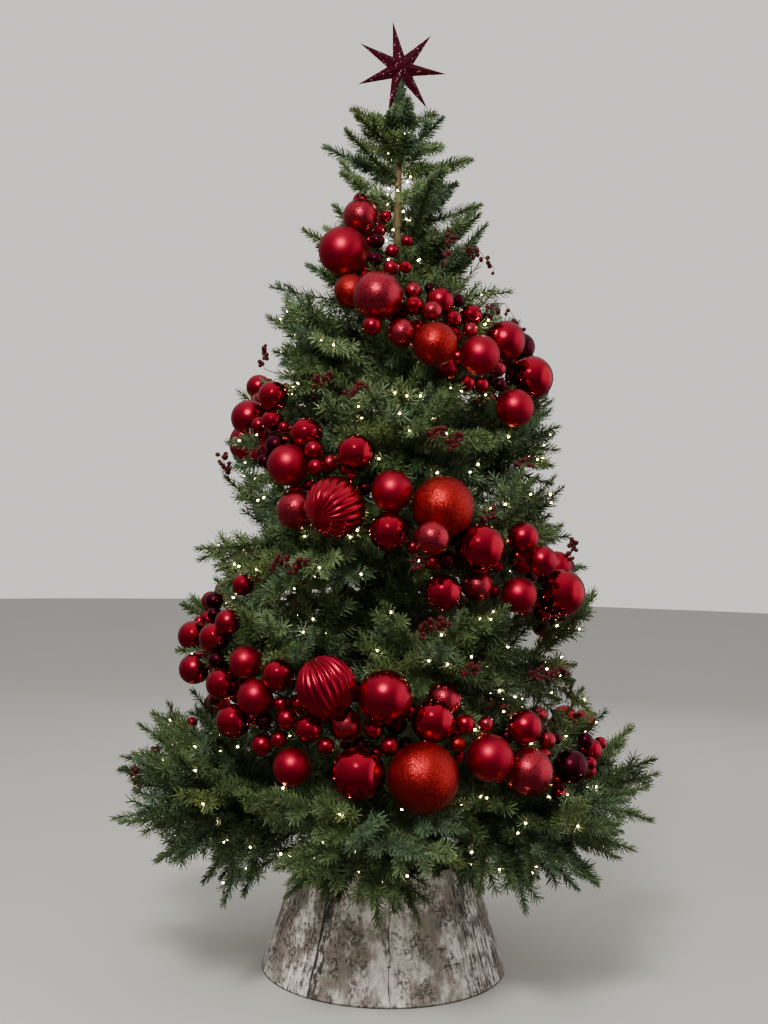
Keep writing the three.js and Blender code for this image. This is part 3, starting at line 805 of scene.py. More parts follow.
def spray_axes(ways, rolls):
    """A spray's own sideways direction, turned about its way by its roll, and the one above it."""
    across = unit(np.cross([0.0, 0.0, 1.0], ways))
    across = turned_about(across, ways, rolls)
    return across, np.cross(ways, across)


def side_fullness(share):
    """How far out a spray reaches sideways at a share of its length: the source's cosine."""
    return SPRAY_HALF_WIDTH * np.cos(np.pi * (share - 0.41) / 1.5)


def fitted_lengths(rule, roots, ways, rolls, wanted):
    """Each spray's length: as far as a straight twig stays in the space, then shorter by steps until
    its side tips stay there too, or nothing where only a short one fits."""
    steps = np.arange(1, int(wanted.max() / ROOM_STEP) + 1) * ROOM_STEP
    inside = in_space(rule, roots[:, None] + ways[:, None] * steps[:, None])
    lengths = np.minimum(np.cumprod(inside, axis=1).sum(axis=1) * ROOM_STEP, wanted)
    across, _ = spray_axes(ways, rolls)
    for _ in range(12):
        tips = roots[:, None] + lengths[:, None, None] * (
            ways[:, None] * SIDE_TIPS[:, None] + across[:, None] * side_fullness(SIDE_TIPS)[:, None])
        mirrored = tips - 2 * lengths[:, None, None] * across[:, None] * (
            side_fullness(SIDE_TIPS)[:, None])
        fits = in_space(rule, tips).all(axis=1) & in_space(rule, mirrored).all(axis=1)
        lengths = np.where(fits, lengths, lengths * SHRINK)
    return np.where(lengths >= SHORTEST_SPRAY, lengths, 0)


def whorl_sprays():
    """The sprays of the top's whorls, by the source's rule, with shorter ones between the lower ones.
    Those in front of the bare stretch of pole are bent aside, as in the photograph. Returns roots,
    ways, rolls and lengths."""
    rows = []
    for index, whorl in enumerate(WHORLS):
        number = np.arange(0, whorl["count"], 1 / whorl["finer"])
        seed = 200 + index * 10 + number
        between = number % 1 > 0
        azimuth = np.radians(whorl["turn"] + 360 * number / whorl["count"]
                             + WHORL_TURN_SPREAD * spread(seed, 1))
        if whorl["parted"]:
            front = np.angle(np.exp(1j * azimuth) * 1j)
            azimuth = azimuth + np.where(abs(front) < PARTING, np.sign(front) * PARTING - front, 0)
        pitch = np.radians(whorl["pitch"] + WHORL_PITCH_SPREAD * spread(seed, 2)
                           + np.where(between, BETWEEN_PITCH, 0))
        radius = pole_radius(whorl["height"])
        lengths = (whorl["reach"] - radius) / np.cos(pitch) * whorl["grown"]
        lengths = lengths * (1 - WHORL_LENGTH_SPREAD * chance(seed, 3)) * (
            np.where(between, BETWEEN_LENGTH, 1))
        roots = in_plane(azimuth, radius, 0, whorl["height"])
        rows.append((roots, ways_of(azimuth, 0, pitch), WHORL_ROLL_SPREAD * spread(seed, 4), lengths))
    return stacked(rows)


def inner_sprays():
    """Short sprays that stand up and down from the boughs between the pole and the masses."""
    rows = []
    shares = np.linspace(0.2, 0.97, 8)
    yaw = np.radians(INNER_SPRAY_YAW) * np.tile([1, -1], 4)
    for rule in mass_rules():
        if rule["bough_reach"]:
            pitch = np.radians(np.tile(INNER_SPRAY_PITCHES, 2)
                               + 12 * spread(rule["seed"], shares * 90))
            rows.append((bough_points(rule, shares), ways_of(rule["azimuth"], yaw, pitch), shares,
                         np.full(8, INNER_SPRAY_LENGTH)))
    return stacked(rows)


def pole_sprays():
    """Short sprays off the pole, a golden angle apart, pitched up and down by turns."""
    number = np.arange(POLE_SPRAY_COUNT)
    height = np.linspace(POLE_SPRAY_LOW, POLE_SPRAY_TOP, POLE_SPRAY_COUNT)
    turn = np.radians(GOLDEN_TURN) * number
    pitch = np.radians(POLE_SPRAY_PITCHES[number % 4] + 8 * spread(number, 2))
    length = np.minimum(POLE_SPRAY_LENGTH, crown_edge(height) * 0.7)
    roots = in_plane(turn, pole_radius(height), 0, height)
    return roots, ways_of(turn, 0, pitch), spread(number, 5), length


def drooping_sprays():
    """Rings of sprays off the pole that droop over the collar's open top."""
    number = np.arange(DROOPING_COUNT)
    turn = 2 * np.pi * number / DROOPING_COUNT
    height, pitch, length = DROOPING_RINGS[number % 3].T
    pitch = np.radians(pitch + 5 * spread(number, 7))
    length = length * (1 - 0.12 * chance(number, 8))
    roots = in_plane(turn, pole_radius(height), 0, height)
    return roots, ways_of(turn, 0, pitch), 0.5 * spread(number, 9), length


def crown_depth(points):
    """How far out points lie, from 0 at the pole to 1 at the crown's edge at their height."""
    return np.hypot(points[..., 0], points[..., 1]) / crown_edge(points[..., 2])


def dealt_greens(shares, draw):
    """The number of the green that each draw from 0 to 1 falls on, by the greens' shares."""
    return np.searchsorted(np.cumsum(shares)[:-1], draw)


def grown_sprays():
    """All the sprays: roots, ways, rolls, lengths, the share of side shoots kept, and a colour
    number for each. Dark sprays are commoner inside and low down, as painted shade; olive ones
    are commoner inside, and blue and fresh ones outside."""
    rows = []
    for rule in mass_rules():
        roots, ways, rolls, wanted = mass_sprays(rule)
        rows.append((roots, ways, rolls, fitted_lengths(rule, roots, ways, rolls, wanted),
                     np.full(len(roots), SIDE_KEPT)))
    for group, kept in ((whorl_sprays(), SIDE_KEPT_ON_WHORLS), (inner_sprays(), SIDE_KEPT),
                        (pole_sprays(), SIDE_KEPT), (drooping_sprays(), SIDE_KEPT)):
        rows.append((*group, np.full(len(group[0]), kept)))
    roots, ways, rolls, lengths, kept = stacked(rows)
    tips = roots + ways * lengths[:, None]
    lengths = lengths / np.maximum(1, crown_depth(tips))
    depth = crown_depth(roots + ways * lengths[:, None] * 0.6)
    rng = np.random.default_rng(5)
    draw = rng.random(len(roots))
    # Low and inner sprays get more of the dark green: painted shade.
    outside = np.where(tips[:, 2] < LOW_TIP, dealt_greens(LOW_SHADED_GREENS, draw),
                       dealt_greens(OUTER_GREENS, draw))
    depth = depth + rng.uniform(-INSIDE_SPREAD, INSIDE_SPREAD, len(roots))
    colour = np.where(depth < INSIDE_DEPTH, dealt_greens(INNER_SHADED_GREENS, draw), outside)
    grown = lengths > 0
    return [column[grown] for column in (roots, ways, rolls, lengths, kept, colour)]


def shoots_of(sprays):
    """The main shoot and the side shoots of each spray, as arrays: root, way times length, bend at
    the tip, colour, whether it is a main one, and its main shoot's number. A shoot's line is
    root + way s + bend s²."""
    roots, ways, rolls, lengths, kept, colour = sprays
    count = len(roots)
    rng = np.random.default_rng(23)
    across, above = spray_axes(ways, rolls)
    lift = np.array([0.0, 0.0, 1.0])
    main_bend = lift * (lengths * rng.uniform(*MAIN_LIFT, count))[:, None]
    main = dict(root=roots, way=ways * lengths[:, None], bend=main_bend, colour=colour,
                main=np.ones(count, bool), owner=np.arange(count))
    tips = np.tile(SIDE_TIPS, (count, 2))
    side = np.repeat([1.0, -1.0], len(SIDE_TIPS)) * np.ones((count, 1))
    tips = tips + rng.uniform(-SIDE_TIP_SPREAD, SIDE_TIP_SPREAD, tips.shape)
    out = side_fullness(tips) * rng.uniform(0.85, 1.1, tips.shape)
    angle = np.radians(SIDE_ANGLE + rng.uniform(-SIDE_ANGLE_SPREAD, SIDE_ANGLE_SPREAD, tips.shape))
    start = np.maximum(tips - out / np.tan(angle), 0.03)
    rise = rng.uniform(*SIDE_RISE, tips.shape) * out
    point = roots[:, None] + lengths[:, None, None] * (
        ways[:, None] * start[..., None]) + main_bend[:, None] * (start ** 2)[..., None]
    along = ways[:, None] * (tips - start)[..., None] + across[:, None] * (side * out)[..., None] + (
        above[:, None] * rise[..., None])
    reach = along * lengths[:, None, None]
    bend = (ways[:, None] * SIDE_FORWARD + lift * SIDE_LIFT) * (
        np.linalg.norm(reach, axis=-1, keepdims=True))
    reach = reach - bend * 0.6
    grown = (rng.random(tips.shape) < kept[:, None]).ravel()
    number = np.repeat(np.arange(count), tips.shape[1])
    twig = dict(root=point.reshape(-1, 3), way=reach.reshape(-1, 3), bend=bend.reshape(-1, 3),
                colour=colour[number], main=np.zeros(tips.size, bool), owner=number)
    return {key: np.concatenate([main[key], twig[key][grown]]) for key in main}


def in_openings(points):
    """Which points lie in one of the crown's openings, as the photograph sees them."""
    local = (points - CAMERA_PLACE) @ np.array(camera_turn())
    across = PHOTO_WIDTH / 2 - FOCAL_PIXELS * local[:, 0] / local[:, 2]
    down = PHOTO_HEIGHT / 2 + FOCAL_PIXELS * local[:, 1] / local[:, 2]
    x, y, radius = np.array(OPENINGS, float).T
    return (np.hypot(across[:, None] - x, down[:, None] - y) < radius).any(axis=1)


def cleared(shoots):
    """Leaves out shoots in the crown's openings, and those that would hide a bauble or run through
    it, with all that they carry: those with a point near the line from it outwards, or to where it
    is seen from."""
    _, places, radii, sights, lengths = bauble_layout()
    count = len(shoots["main"])
    checked = [shoot_points(shoots, np.arange(count), np.full(count, share))
               for share in CLEARED_SHARES]
    keep = ~np.any([in_openings(points) for points in checked], axis=0)
    for place, radius, sight, length in zip(places, radii, sights, lengths):
        for way, reach in ((sight, length), (outwards(place), length * CLEARED_OUTWARDS)):
            for points in checked:
                offset = points - place
                along = np.clip(offset @ way, 0, reach)
                gap = np.linalg.norm(offset - along[:, None] * way, axis=1)
                keep &= gap > radius * CLEARED_RADIUS + CLEARED_PAST
    keep &= keep[shoots["owner"]]
    number = np.cumsum(keep) - 1
    left = {key: value[keep] for key, value in shoots.items()}
    left["owner"] = number[left["owner"]]
    return left


@functools.cache
def foliage_shoots():
    """All the shoots that the tree keeps."""
    return cleared(shoots_of(grown_sprays()))


def shoot_points(shoots, owner, share):
    """Points on shoots at shares of their length."""
    return shoots["root"][owner] + shoots["way"][owner] * share[:, None] + (
        shoots["bend"][owner] * (share ** 2)[:, None])


def leader_shoots():
    """The brush of needles round the pole's bare top: upright shoots end to end on its line, others
    side by side round the star's holder, and a dozen that lean out from the pole below it."""
    low, high = np.array(LEADER_LINE + LEADER_ROUND).T
    out = np.where(low > LEADER_HEIGHT, LEADER_ROUND_RADIUS, 0)
    root = in_plane(np.arange(len(low)) * np.pi / 2, out, 0, low)
    way = (high - low)[:, None] * [0.0, 0.0, 1.0]
    number = np.arange(LEADER_LEANING)
    turn = np.radians(GOLDEN_TURN) * number
    start = LEADER_LEANING_FOOT + LEADER_LEANING_STEP * number
    root = np.concatenate([root, in_plane(turn, pole_radius(start), 0, start)])
    pitch = np.radians(LEADER_LEANING_PITCH + 10 * spread(number, 3))
    way = np.concatenate([way, LEADER_LEANING_LENGTH * ways_of(turn, 0, pitch)])
    count = len(root)
    # Blue and dark greens for the upright shoots, and mid, blue and dark by turns for the leaning.
    colour = np.concatenate([[1, 3, 1, 1, 3, 1, 3], np.array([0, 1, 0, 3])[number % 4]])
    return dict(root=root, way=way, bend=0 * way, colour=colour, main=np.ones(count, bool),
                owner=np.arange(count))


def needle_shape(shoots, settings):
    """Needles of all shoots at once, and the colour number of each. A needle leaves its shoot a
    golden angle further round than the last, leaning forward, more so at the tip. It is a strip of
    two faces, a little twisted and narrower at its blunt end. Shoots deep in the crown have
    fewer."""
    rng = np.random.default_rng(31)
    length = np.linalg.norm(shoots["way"], axis=1)
    depth = crown_depth(shoots["root"] + shoots["way"] * 0.5)
    dense = np.interp(depth, DENSITY_DEPTHS, [INNER_DENSITY, 1])
    height = shoots["root"][:, 2] + shoots["way"][:, 2]
    dense = np.where(height > TOP_HEIGHT, TOP_DENSITY, np.where(height < LOW_HEIGHT, 1, dense))
    counts = np.maximum(FEWEST_NEEDLES, length * dense * settings.needles_per_metre).astype(int)
    owner = np.repeat(np.arange(len(counts)), counts)
    order = np.arange(len(owner)) - np.repeat(np.cumsum(counts) - counts, counts)
    share = np.where(shoots["main"][owner], 0.08, 0.02) + (order + rng.random(len(owner))) * (
        0.96 / counts[owner])
    base = shoot_points(shoots, owner, share)
    tangent = unit(shoots["way"][owner] + 2 * shoots["bend"][owner] * share[:, None])
    across, above = frames(tangent)
    turn = (np.radians(GOLDEN_TURN) * order + owner)[:, None]
    radial = across * np.cos(turn) + above * np.sin(turn)
    to_tip = share ** TIP_POWER
    stray = rng.uniform(-NEEDLE_LEAN_SPREAD, NEEDLE_LEAN_SPREAD, len(owner))
    lean = np.radians(NEEDLE_LEAN - NEEDLE_LEAN_LESS * to_tip + stray)[:, None]
    way = tangent * np.cos(lean) + radial * np.sin(lean)
    size = settings.needle_length * rng.uniform(0.8, 1.1, len(owner)) * (1 - TIP_SHORTER * to_tip)
    size = size * np.where(dense < 1, 1.3 - 0.3 * dense, 1)[owner]
    size = size * np.where(shoots["root"][:, 2] > LEADER_HEIGHT, LEADER_SHORTER, 1)[owner]
    flat = unit(np.cross(way, radial))
    twist = rng.uniform(-NEEDLE_TWIST, NEEDLE_TWIST, len(owner))
    foot = turned_about(flat, way, twist) * (settings.needle_width / 2)
    head = turned_about(flat, way, twist + NEEDLE_TWIST / 2) * (settings.needle_width * BLUNT_WIDTH)
    end = base + way * size[:, None]
    corners = np.stack([base - foot, base + foot, end + head, end - head], axis=1)
    return corners, shoots["colour"][owner]


def outside_baubles(corners):
    """Which needles stay clear of every bauble."""
    _, places, radii, _, _ = bauble_layout()
    middle = corners.mean(axis=1)
    clear = np.ones(len(middle), bool)
    for place, radius in zip(places, radii):
        near = np.flatnonzero(np.abs(middle[:, 2] - place[2]) < radius + NEEDLE_CLEAR)
        gap = np.linalg.norm(middle[near] - place, axis=1)
        clear[near[gap < radius + NEEDLE_CLEAR]] = False
    return clear


def nodes_named(start):
    """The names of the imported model's nodes that start so."""
    return sorted(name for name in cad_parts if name.startswith(start))


def colour_setting(name, description, hex_colour):
    """A colour property, with an sRGB hex colour as its default."""
    return bpy.props.FloatVectorProperty(name=name, description=description, subtype="COLOR",
                                         size=4, min=0, max=1, default=linear(hex_colour))


def number_setting(name, description, default, low, high, unit="NONE"):
    """A number property with its least and greatest value."""
    return bpy.props.FloatProperty(name=name, description=description, default=default, min=low,
                                   max=high, unit=unit)


class FoliageSettings(bpy.types.PropertyGroup):
    """Sizes and colours of the needles and twigs."""
    needle_length: number_setting("Needle length", "Length of one needle", 0.0235, 0.005, 0.05,
                                  "LENGTH")
    needle_width: number_setting("Needle width", "Width of one needle at its foot", 0.0028,
                                 0.0005, 0.01, "LENGTH")
    needles_per_metre: number_setting("Needles per metre", "Needles on each metre of shoot", 1060,
                                      50, 3000)
    mid_green: colour_setting("Mid green", "Most of the sprays", "#4a5b33")
    blue_green: colour_setting("Blue green", "Cooler sprays", "#485c3f")
    fresh_green: colour_setting("Fresh green", "Lighter sprays", "#63754a")
    # Painted shade: this dark green, dealt to sprays deep in the crown and low down, stands in for
    # their shade.
    dark_green: colour_setting("Dark green", "Sprays deep in the crown", "#2e3d1c")
    olive_green: colour_setting("Olive green", "Yellower sprays", "#4e5a2f")
    twig: colour_setting("Twig", "The tape on the twigs' wire", "#3a4226")


class LimbSettings(bpy.types.PropertyGroup):
    """Colours and relief of the pole and boughs."""
    paint: colour_setting("Pole", "The pole's olive-brown coat", "#5c4f2c")
    bark: colour_setting("Boughs", "The tape on the boughs", "#45412a")
    relief: number_setting("Relief", "How high the tape's turns stand", 0.0007, 0, 0.003, "LENGTH")


class BaubleSettings(bpy.types.PropertyGroup):
    """Colours of the baubles and berries."""
    red: colour_setting("Red", "Metallised red of most baubles", "#bd1f39")
    deep_red: colour_setting("Deep red", "The shiny baubles' red", "#c21f37")
    orange_red: colour_setting("Orange red", "The glittered baubles", "#ce2d30")
    burgundy: colour_setting("Burgundy", "The darkest baubles", "#561628")
    berry: colour_setting("Berry", "The berries' lacquer", "#4a060c")
    berry_radius: number_setting("Berry radius", "Radius of one berry", 0.0055, 0.001, 0.02,
                                 "LENGTH")


class LightSettings(bpy.types.PropertyGroup):
    """The fairy lights."""
    bulbs: bpy.props.IntProperty(
        name="Bulbs", description="How many bulbs the string has", default=620, min=1, max=2000)
    bulb_radius: number_setting("Bulb radius", "Radius of one bulb", 0.0021, 0.001, 0.01, "LENGTH")
    glow: colour_setting("Glow", "Colour of the light", "#ffe2a6")
    strength: number_setting("Strength", "How strongly the bulbs shine", 60, 0, 200)


class CollarSettings(bpy.types.PropertyGroup):
    """Colours of the birch bark on the collar."""
    pale: colour_setting("Pale bark", "The bark's lightest patches", "#f0e7dc")
    grey: colour_setting("Grey bark", "Most of the bark", "#958a7e")
    dark: colour_setting("Dark marks", "Cracks, pores and streaks", "#2c241d")


class StarSettings(bpy.types.PropertyGroup):
    """The star's paper."""
    paper: colour_setting("Paper", "The burgundy paper", "#3c0314")
    pinhole: colour_setting("Pinholes", "The pale rims of the pricked holes", "#9a6a74")


class StageSettings(bpy.types.PropertyGroup):
    """Floor and lights."""
    floor: colour_setting("Floor", "The plain pale floor", "#c2beb6")
    key: number_setting("Key light", "Power of the soft light beside the camera", 88, 0, 2000,
                        "POWER")
    gleam: number_setting("Gleam", "Power of the light that shiny things mirror", 100, 0, 2000,
                          "POWER")
    fill: number_setting("Fill light", "Power of the soft lights at the sides", 40, 0, 2000,
                         "POWER")


LIGHTS_AIM = (0, 0, 1.05)
FLOOR_RADIUS = 12
FLOOR_GAP = 0.0005


def stage_camera():
    """The camera that took the photograph."""
    data = bpy.data.cameras.new("camera")
    data.sensor_fit = "VERTICAL"
    data.sensor_height = SENSOR
    data.lens = SENSOR * FOCAL_PIXELS / PHOTO_HEIGHT
    camera = placed("camera", data)
    camera.matrix_world = Matrix.Translation(CAMERA_PLACE) @ camera_turn().to_4x4()
    bpy.context.scene.camera = camera


def stage_floor(colour):
    """A round floor, a hair below the tree's foot."""
    # Matt painted boards, as a studio floor: pale, with the faintest cloudiness.
    material = mottled("matt_floor_paint", 1.5, colour[:], shade(colour, 0.94), Roughness=0.8)
    profile = [(0, -0.02), (FLOOR_RADIUS - 0.1, -0.02), (FLOOR_RADIUS, -0.01),
               (FLOOR_RADIUS, -FLOOR_GAP), (0, -FLOOR_GAP)]
    corners, triangles = lathe(profile, 64)
    mesh = bpy.data.meshes.new("floor")
    mesh.from_pydata(corners.tolist(), [], triangles.tolist())
    mesh.materials.append(material)
    floor = placed("floor", mesh)
    floor.visible_glossy = False


def stage_world():
    """A plain wall for the camera, and for light and mirrors a room: dim below, paler above, with a
    pale window to the right."""
    world = bpy.data.worlds.new("studio")
    world.use_nodes = True
    bpy.context.scene.world = world
    tree = world.node_tree
    seen = tree.nodes["Background"]
    seen.inputs["Color"].default_value = linear("#c9c6c0")
    seen.inputs["Strength"].default_value = 1.6
    way = add(tree, "ShaderNodeTexCoord").outputs["Generated"]
    split = add(tree, "ShaderNodeSeparateXYZ", inputs={0: way})
    lifted = add(tree, "ShaderNodeMapRange", inputs={
        "Value": split.outputs["Z"], "From Min": -1.0, "From Max": 1.0})
    greys = [(0.0, 0.12), (0.35, 0.1), (0.72, 0.33), (1.0, 0.8)]
    sky = add(tree, "ShaderNodeValToRGB", {
        "stops": [(stop, (grey, grey, grey, 1)) for stop, grey in greys]}, {0: lifted.outputs[0]})
    window = stepped(tree, split.outputs["X"], 0.62, 0.9, 0.8)
    above = stepped(tree, split.outputs["Z"], -0.7, 0.0)
    lit = worked(tree, "MULTIPLY_ADD", window, above, sky.outputs[0])
    soft = add(tree, "ShaderNodeBackground", inputs={"Color": lit, "Strength": 1.0})
    path = add(tree, "ShaderNodeLightPath")
    both = add(tree, "ShaderNodeMixShader", inputs={
        0: path.outputs["Is Camera Ray"], 1: soft.outputs[0], 2: seen.outputs[0]})
    tree.links.new(both.outputs[0], tree.nodes["World Output"].inputs["Surface"])


def stage_light(name, place, size, power, mirrored):
    """A square soft light that faces the tree's middle. The camera doesn't see it, and shiny things
    mirror it only where that is asked for."""
    data = bpy.data.lights.new(name, "AREA")
    data.shape = "SQUARE"
    data.size = size
    data.energy = power
    lamp = placed(name, data)
    lamp.location = place
    way = Vector(LIGHTS_AIM) - Vector(place)
    lamp.rotation_euler = way.to_track_quat("-Z", "Y").to_euler()
    lamp.visible_camera = False
    lamp.visible_glossy = mirrored


class TREE_OT_stage(bpy.types.Operator):
    """Camera, floor, surroundings and soft lights"""
    bl_idname = "tree.stage"
    bl_label = "Stage"

    def execute(self, context):
        settings = context.scene.tree_stage
        stage_camera()
        stage_floor(settings.floor)
        stage_world()
        stage_light("key", (-0.6, -3.1, 3.3), 1.0, settings.key, False)
        stage_light("gleam", (-0.6, -3.1, 3.3), 0.7, settings.gleam, True)
        stage_light("fill_left", (-3.3, -1.6, 2.2), 2.4, settings.fill, False)
        stage_light("fill_right", (3.4, -1.8, 1.9), 2.4, settings.fill * 0.6, False)
        stage_light("fill_back", (0.6, 3.6, 2.6), 2.4, settings.fill, False)
        return {"FINISHED"}


class TREE_OT_stand(bpy.types.Operator):
    """Powder-coated finish for the steel stand"""
    bl_idname = "tree.stand"
    bl_label = "Stand"

    def execute(self, context):
        # Powder-coated welded steel: near black, satin, with the fine pebbling of baked powder.
        material, tree, shader = finish("powder_coated_steel", Metallic=0.0, Roughness=0.45)
        place = object_place(tree)
        tone = add(tree, "ShaderNodeValToRGB", {
            "stops": [(0.3, linear("#171b19")), (0.7, linear("#262b28"))]}, {
            0: noise(tree, place, 35.0, 6.0)})
        tree.links.new(tone.outputs[0], shader.inputs["Base Color"])
        bumped(tree, shader, noise(tree, place, 700.0), 0.3, 0.0003)
        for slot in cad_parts["stand"].material_slots:
            slot.material = material
        return {"FINISHED"}


def collar_shape():
    """The collar's wall as a closed loop of a profile carried round the pole. Along the profile the
    radius leans in with height, and the outside is furrowed by a sum of sines round the collar. The
    second parameter is the azimuth from the front. UVs are metres round the outside and up it."""
    columns, rows, inner_rows = 256, 34, 6
    angle = np.linspace(-np.pi, np.pi, columns + 1)
    height = np.concatenate([[0.0, 0.0015], np.linspace(0.004, COLLAR_HEIGHT - 0.004, rows),
                             [COLLAR_HEIGHT - 0.0012, COLLAR_HEIGHT]])
    lean = (COLLAR_BASE_RADIUS - COLLAR_TOP_RADIUS) / COLLAR_HEIGHT
    outer = COLLAR_BASE_RADIUS - lean * height
    edge = np.minimum(height, COLLAR_HEIGHT - height)
    outer = outer - 0.0012 * np.clip(1 - edge / 0.003, 0, 1) ** 2
    inner_height = np.linspace(COLLAR_HEIGHT, 0, inner_rows)
    inner = COLLAR_BASE_RADIUS - lean * inner_height - COLLAR_WALL
    profile_radius = np.concatenate([outer, inner, outer[:1]])
    profile_height = np.concatenate([height, inner_height, height[:1]])
    outside = np.concatenate([np.ones(len(outer)), np.zeros(inner_rows + 1)])
    a, h = np.meshgrid(angle, profile_height)
    furrow = (0.5 * np.sin(37 * a + 14 * h) + 0.3 * np.sin(83 * a - 31 * h)
              + 0.2 * np.sin(151 * a + 60 * h))
    radius = profile_radius[:, None] - outside[:, None] * 0.0005 * (1 + furrow)
    corners = in_plane(a, 0, -radius, h).reshape(-1, 3)
    uv = np.stack([a * COLLAR_MIDDLE_RADIUS, h], axis=-1).reshape(-1, 2)
    return (corners, grid_triangles(len(profile_height), columns + 1, False)), uv


# The printed bark has two like halves. Angles from the middle of a half, in degrees: cracks with
# their widths in metres, and the bands that hold each kind of mark.
METRES_PER_DEGREE = math.radians(1) * COLLAR_MIDDLE_RADIUS
BARK_CRACKS = [(-35, 0.0058), (3, 0.002), (43, 0.002), (88, 0.0018), (-77, 0.0014)]
STREAK_BAND = (45, 80)
PORE_BAND = (6, 44)
KNOT_BAND = (-76, -37)


def band_mask(tree, value, low, high, soft):
    """One between low and high and none outside, with soft edges: two smooth steps multiplied."""
    rise = stepped(tree, value, low - soft, low + soft)
    fall = stepped(tree, value, high + soft, high - soft)
    return times(tree, rise, fall)


def stretched_marks(tree, coordinates, scale, low, high, detail=4.0):
    """Marks from noise stretched by a scale per metre along and up, cut between low and high."""
    mapping = add(tree, "ShaderNodeMapping", inputs={"Vector": coordinates, "Scale": scale})
    clouds = add(tree, "ShaderNodeTexNoise", inputs={
        "Vector": mapping.outputs[0], "Scale": 1.0, "Detail": detail, "Roughness": 0.62})
    return stepped(tree, clouds.outputs["Fac"], low, high)


def bark_material(settings):
    """Birch bark on thin board: chalky pale grey sheets that split upright, with dark pores that lie
    level, ringed knots, and a bare dark edge below."""
    material, tree, shader = finish("birch_bark", Roughness=0.78)
    uv = add(tree, "ShaderNodeUVMap", {"uv_map": "surface"}).outputs[0]
    split = add(tree, "ShaderNodeSeparateXYZ", inputs={0: uv})
    half = 90 * METRES_PER_DEGREE
    panel = worked(tree, "WRAP", split.outputs["X"], half, -half)
    place = object_place(tree)

    def marks(*values):
        return stretched_marks(tree, uv, *values)

    def patches(*values):
        return stretched_marks(tree, place, *values)

    def in_band(band, soft):
        return band_mask(tree, panel, *(METRES_PER_DEGREE * angle for angle in band), soft)

    # Large patches of chalk and grey, a blotchy brown veil that runs upright, mottle and fibres.
    veil = marks((75, 24, 1), 0.42, 0.66, 8.0)
    mottle = patches((150, 150, 95), 0.47, 0.57, 8.0)
    cloud = patches((20, 20, 15), 0.4, 0.6, 3.0)
    fibres = marks((330, 22, 1), 0.5, 0.74)

    # Pores: short dark dashes that lie level, most of them in one band.
    few = patches((18, 18, 13), 0.54, 0.62)
    some = worked(tree, "MAXIMUM", times(tree, in_band(PORE_BAND, 0.02), cloud),
                  times(tree, few, 0.9))
    pores = times(tree, marks((48, 170, 1), 0.54, 0.63, 6.0), some)

    # Where the outer sheet has split: dense dark streaks that run upright.
    streaks = times(tree, marks((150, 26, 1), 0.47, 0.57, 8.0), in_band(STREAK_BAND, 0.015))

    # Knots and lichen: speckle, with the rims of rings.
    cells = add(tree, "ShaderNodeTexVoronoi", inputs={"Vector": uv, "Scale": 26.0})
    rings = band_mask(tree, cells.outputs["Distance"], 0.26, 0.36, 0.06)
    specks = marks((150, 75, 1), 0.5, 0.62, 8.0)
    knots = times(tree, worked(tree, "MAXIMUM", specks, times(tree, rings, mottle)),
                  in_band(KNOT_BAND, 0.02))

    # Cracks the height of the sheet, with broken darker bark on the first one's front side.
    bent = worked(tree, "MULTIPLY_ADD", noise(tree, place, 22.0, 5.0), 0.02, panel)
    cracks = 0.0
    for degrees, width in BARK_CRACKS:
        middle = degrees * METRES_PER_DEGREE + 0.01
        line = band_mask(tree, bent, middle - width / 2, middle + width / 2, width * 0.35)
        cracks = worked(tree, "MAXIMUM", cracks, line)
    first = BARK_CRACKS[0][0] * METRES_PER_DEGREE
    beside = band_mask(tree, bent, first + 0.008, first + 0.034, 0.006)
    broken = times(tree, beside, marks((105, 38, 1), 0.45, 0.53, 6.0))
    rim = band_mask(tree, split.outputs["Y"], -0.01, 0.0035, 0.0015)

    # Each kind of mark laid over those before, with its strength and its colour.
    dark = settings.dark[:]
    colour = blended(tree, patches((14, 14, 9), 0.43, 0.57, 6.0), settings.grey[:],
                     settings.pale[:])
    for mask, strength, tone in (
            (veil, 0.55, linear("#675e55")), (times(tree, mottle, cloud), 0.85, linear("#40362d")),
            (fibres, 0.5, linear("#584d43")), (pores, 0.9, dark),
            (streaks, 0.88, linear("#2a221b")), (knots, 0.85, dark), (broken, 0.92, dark),
            (cracks, 0.95, linear("#1c1713")), (rim, 0.8, linear("#2b2420"))):
        colour = blended(tree, times(tree, mask, strength), colour, tone)
    tree.links.new(colour, shader.inputs["Base Color"])
    depth = worked(tree, "ADD", times(tree, cracks, 1.6), times(tree, fibres, 0.5))
    bumped(tree, shader, worked(tree, "ADD", depth, mottle), 0.6, 0.0012, invert=True)
    return material


class TREE_OT_collar(bpy.types.Operator):
    """The tapered collar of birch bark"""
    bl_idname = "tree.collar"
    bl_label = "Collar"

    def execute(self, context):
        material = bark_material(context.scene.tree_collar)
        shape, coordinates = collar_shape()
        mesh_piece("bark_collar", shape, material, replaced=["collar"], uv=coordinates)
        return {"FINISHED"}


def limb_material(name, colour, turns_per_metre):
    """PVC tape wound on steel: matt, olive brown, mottled, with darker laps between its turns."""
    material, tree, shader = finish(name, Roughness=0.7)
    place = object_place(tree)
    darker = shade(colour, 0.5)
    tone = blended(tree, noise(tree, place, 60.0, 6.0), darker, shade(colour, 1.3))
    laps = add(tree, "ShaderNodeTexWave", {"bands_direction": "Z"}, {
        "Vector": place, "Scale": turns_per_metre / 2, "Distortion": 3.0,
        "Detail": 3.0}).outputs["Fac"]
    tone = blended(tree, times(tree, laps, 0.35), tone, darker)
    tree.links.new(tone, shader.inputs["Base Color"])
    bumped(tree, shader, laps, 0.5, 0.0008)
    return material


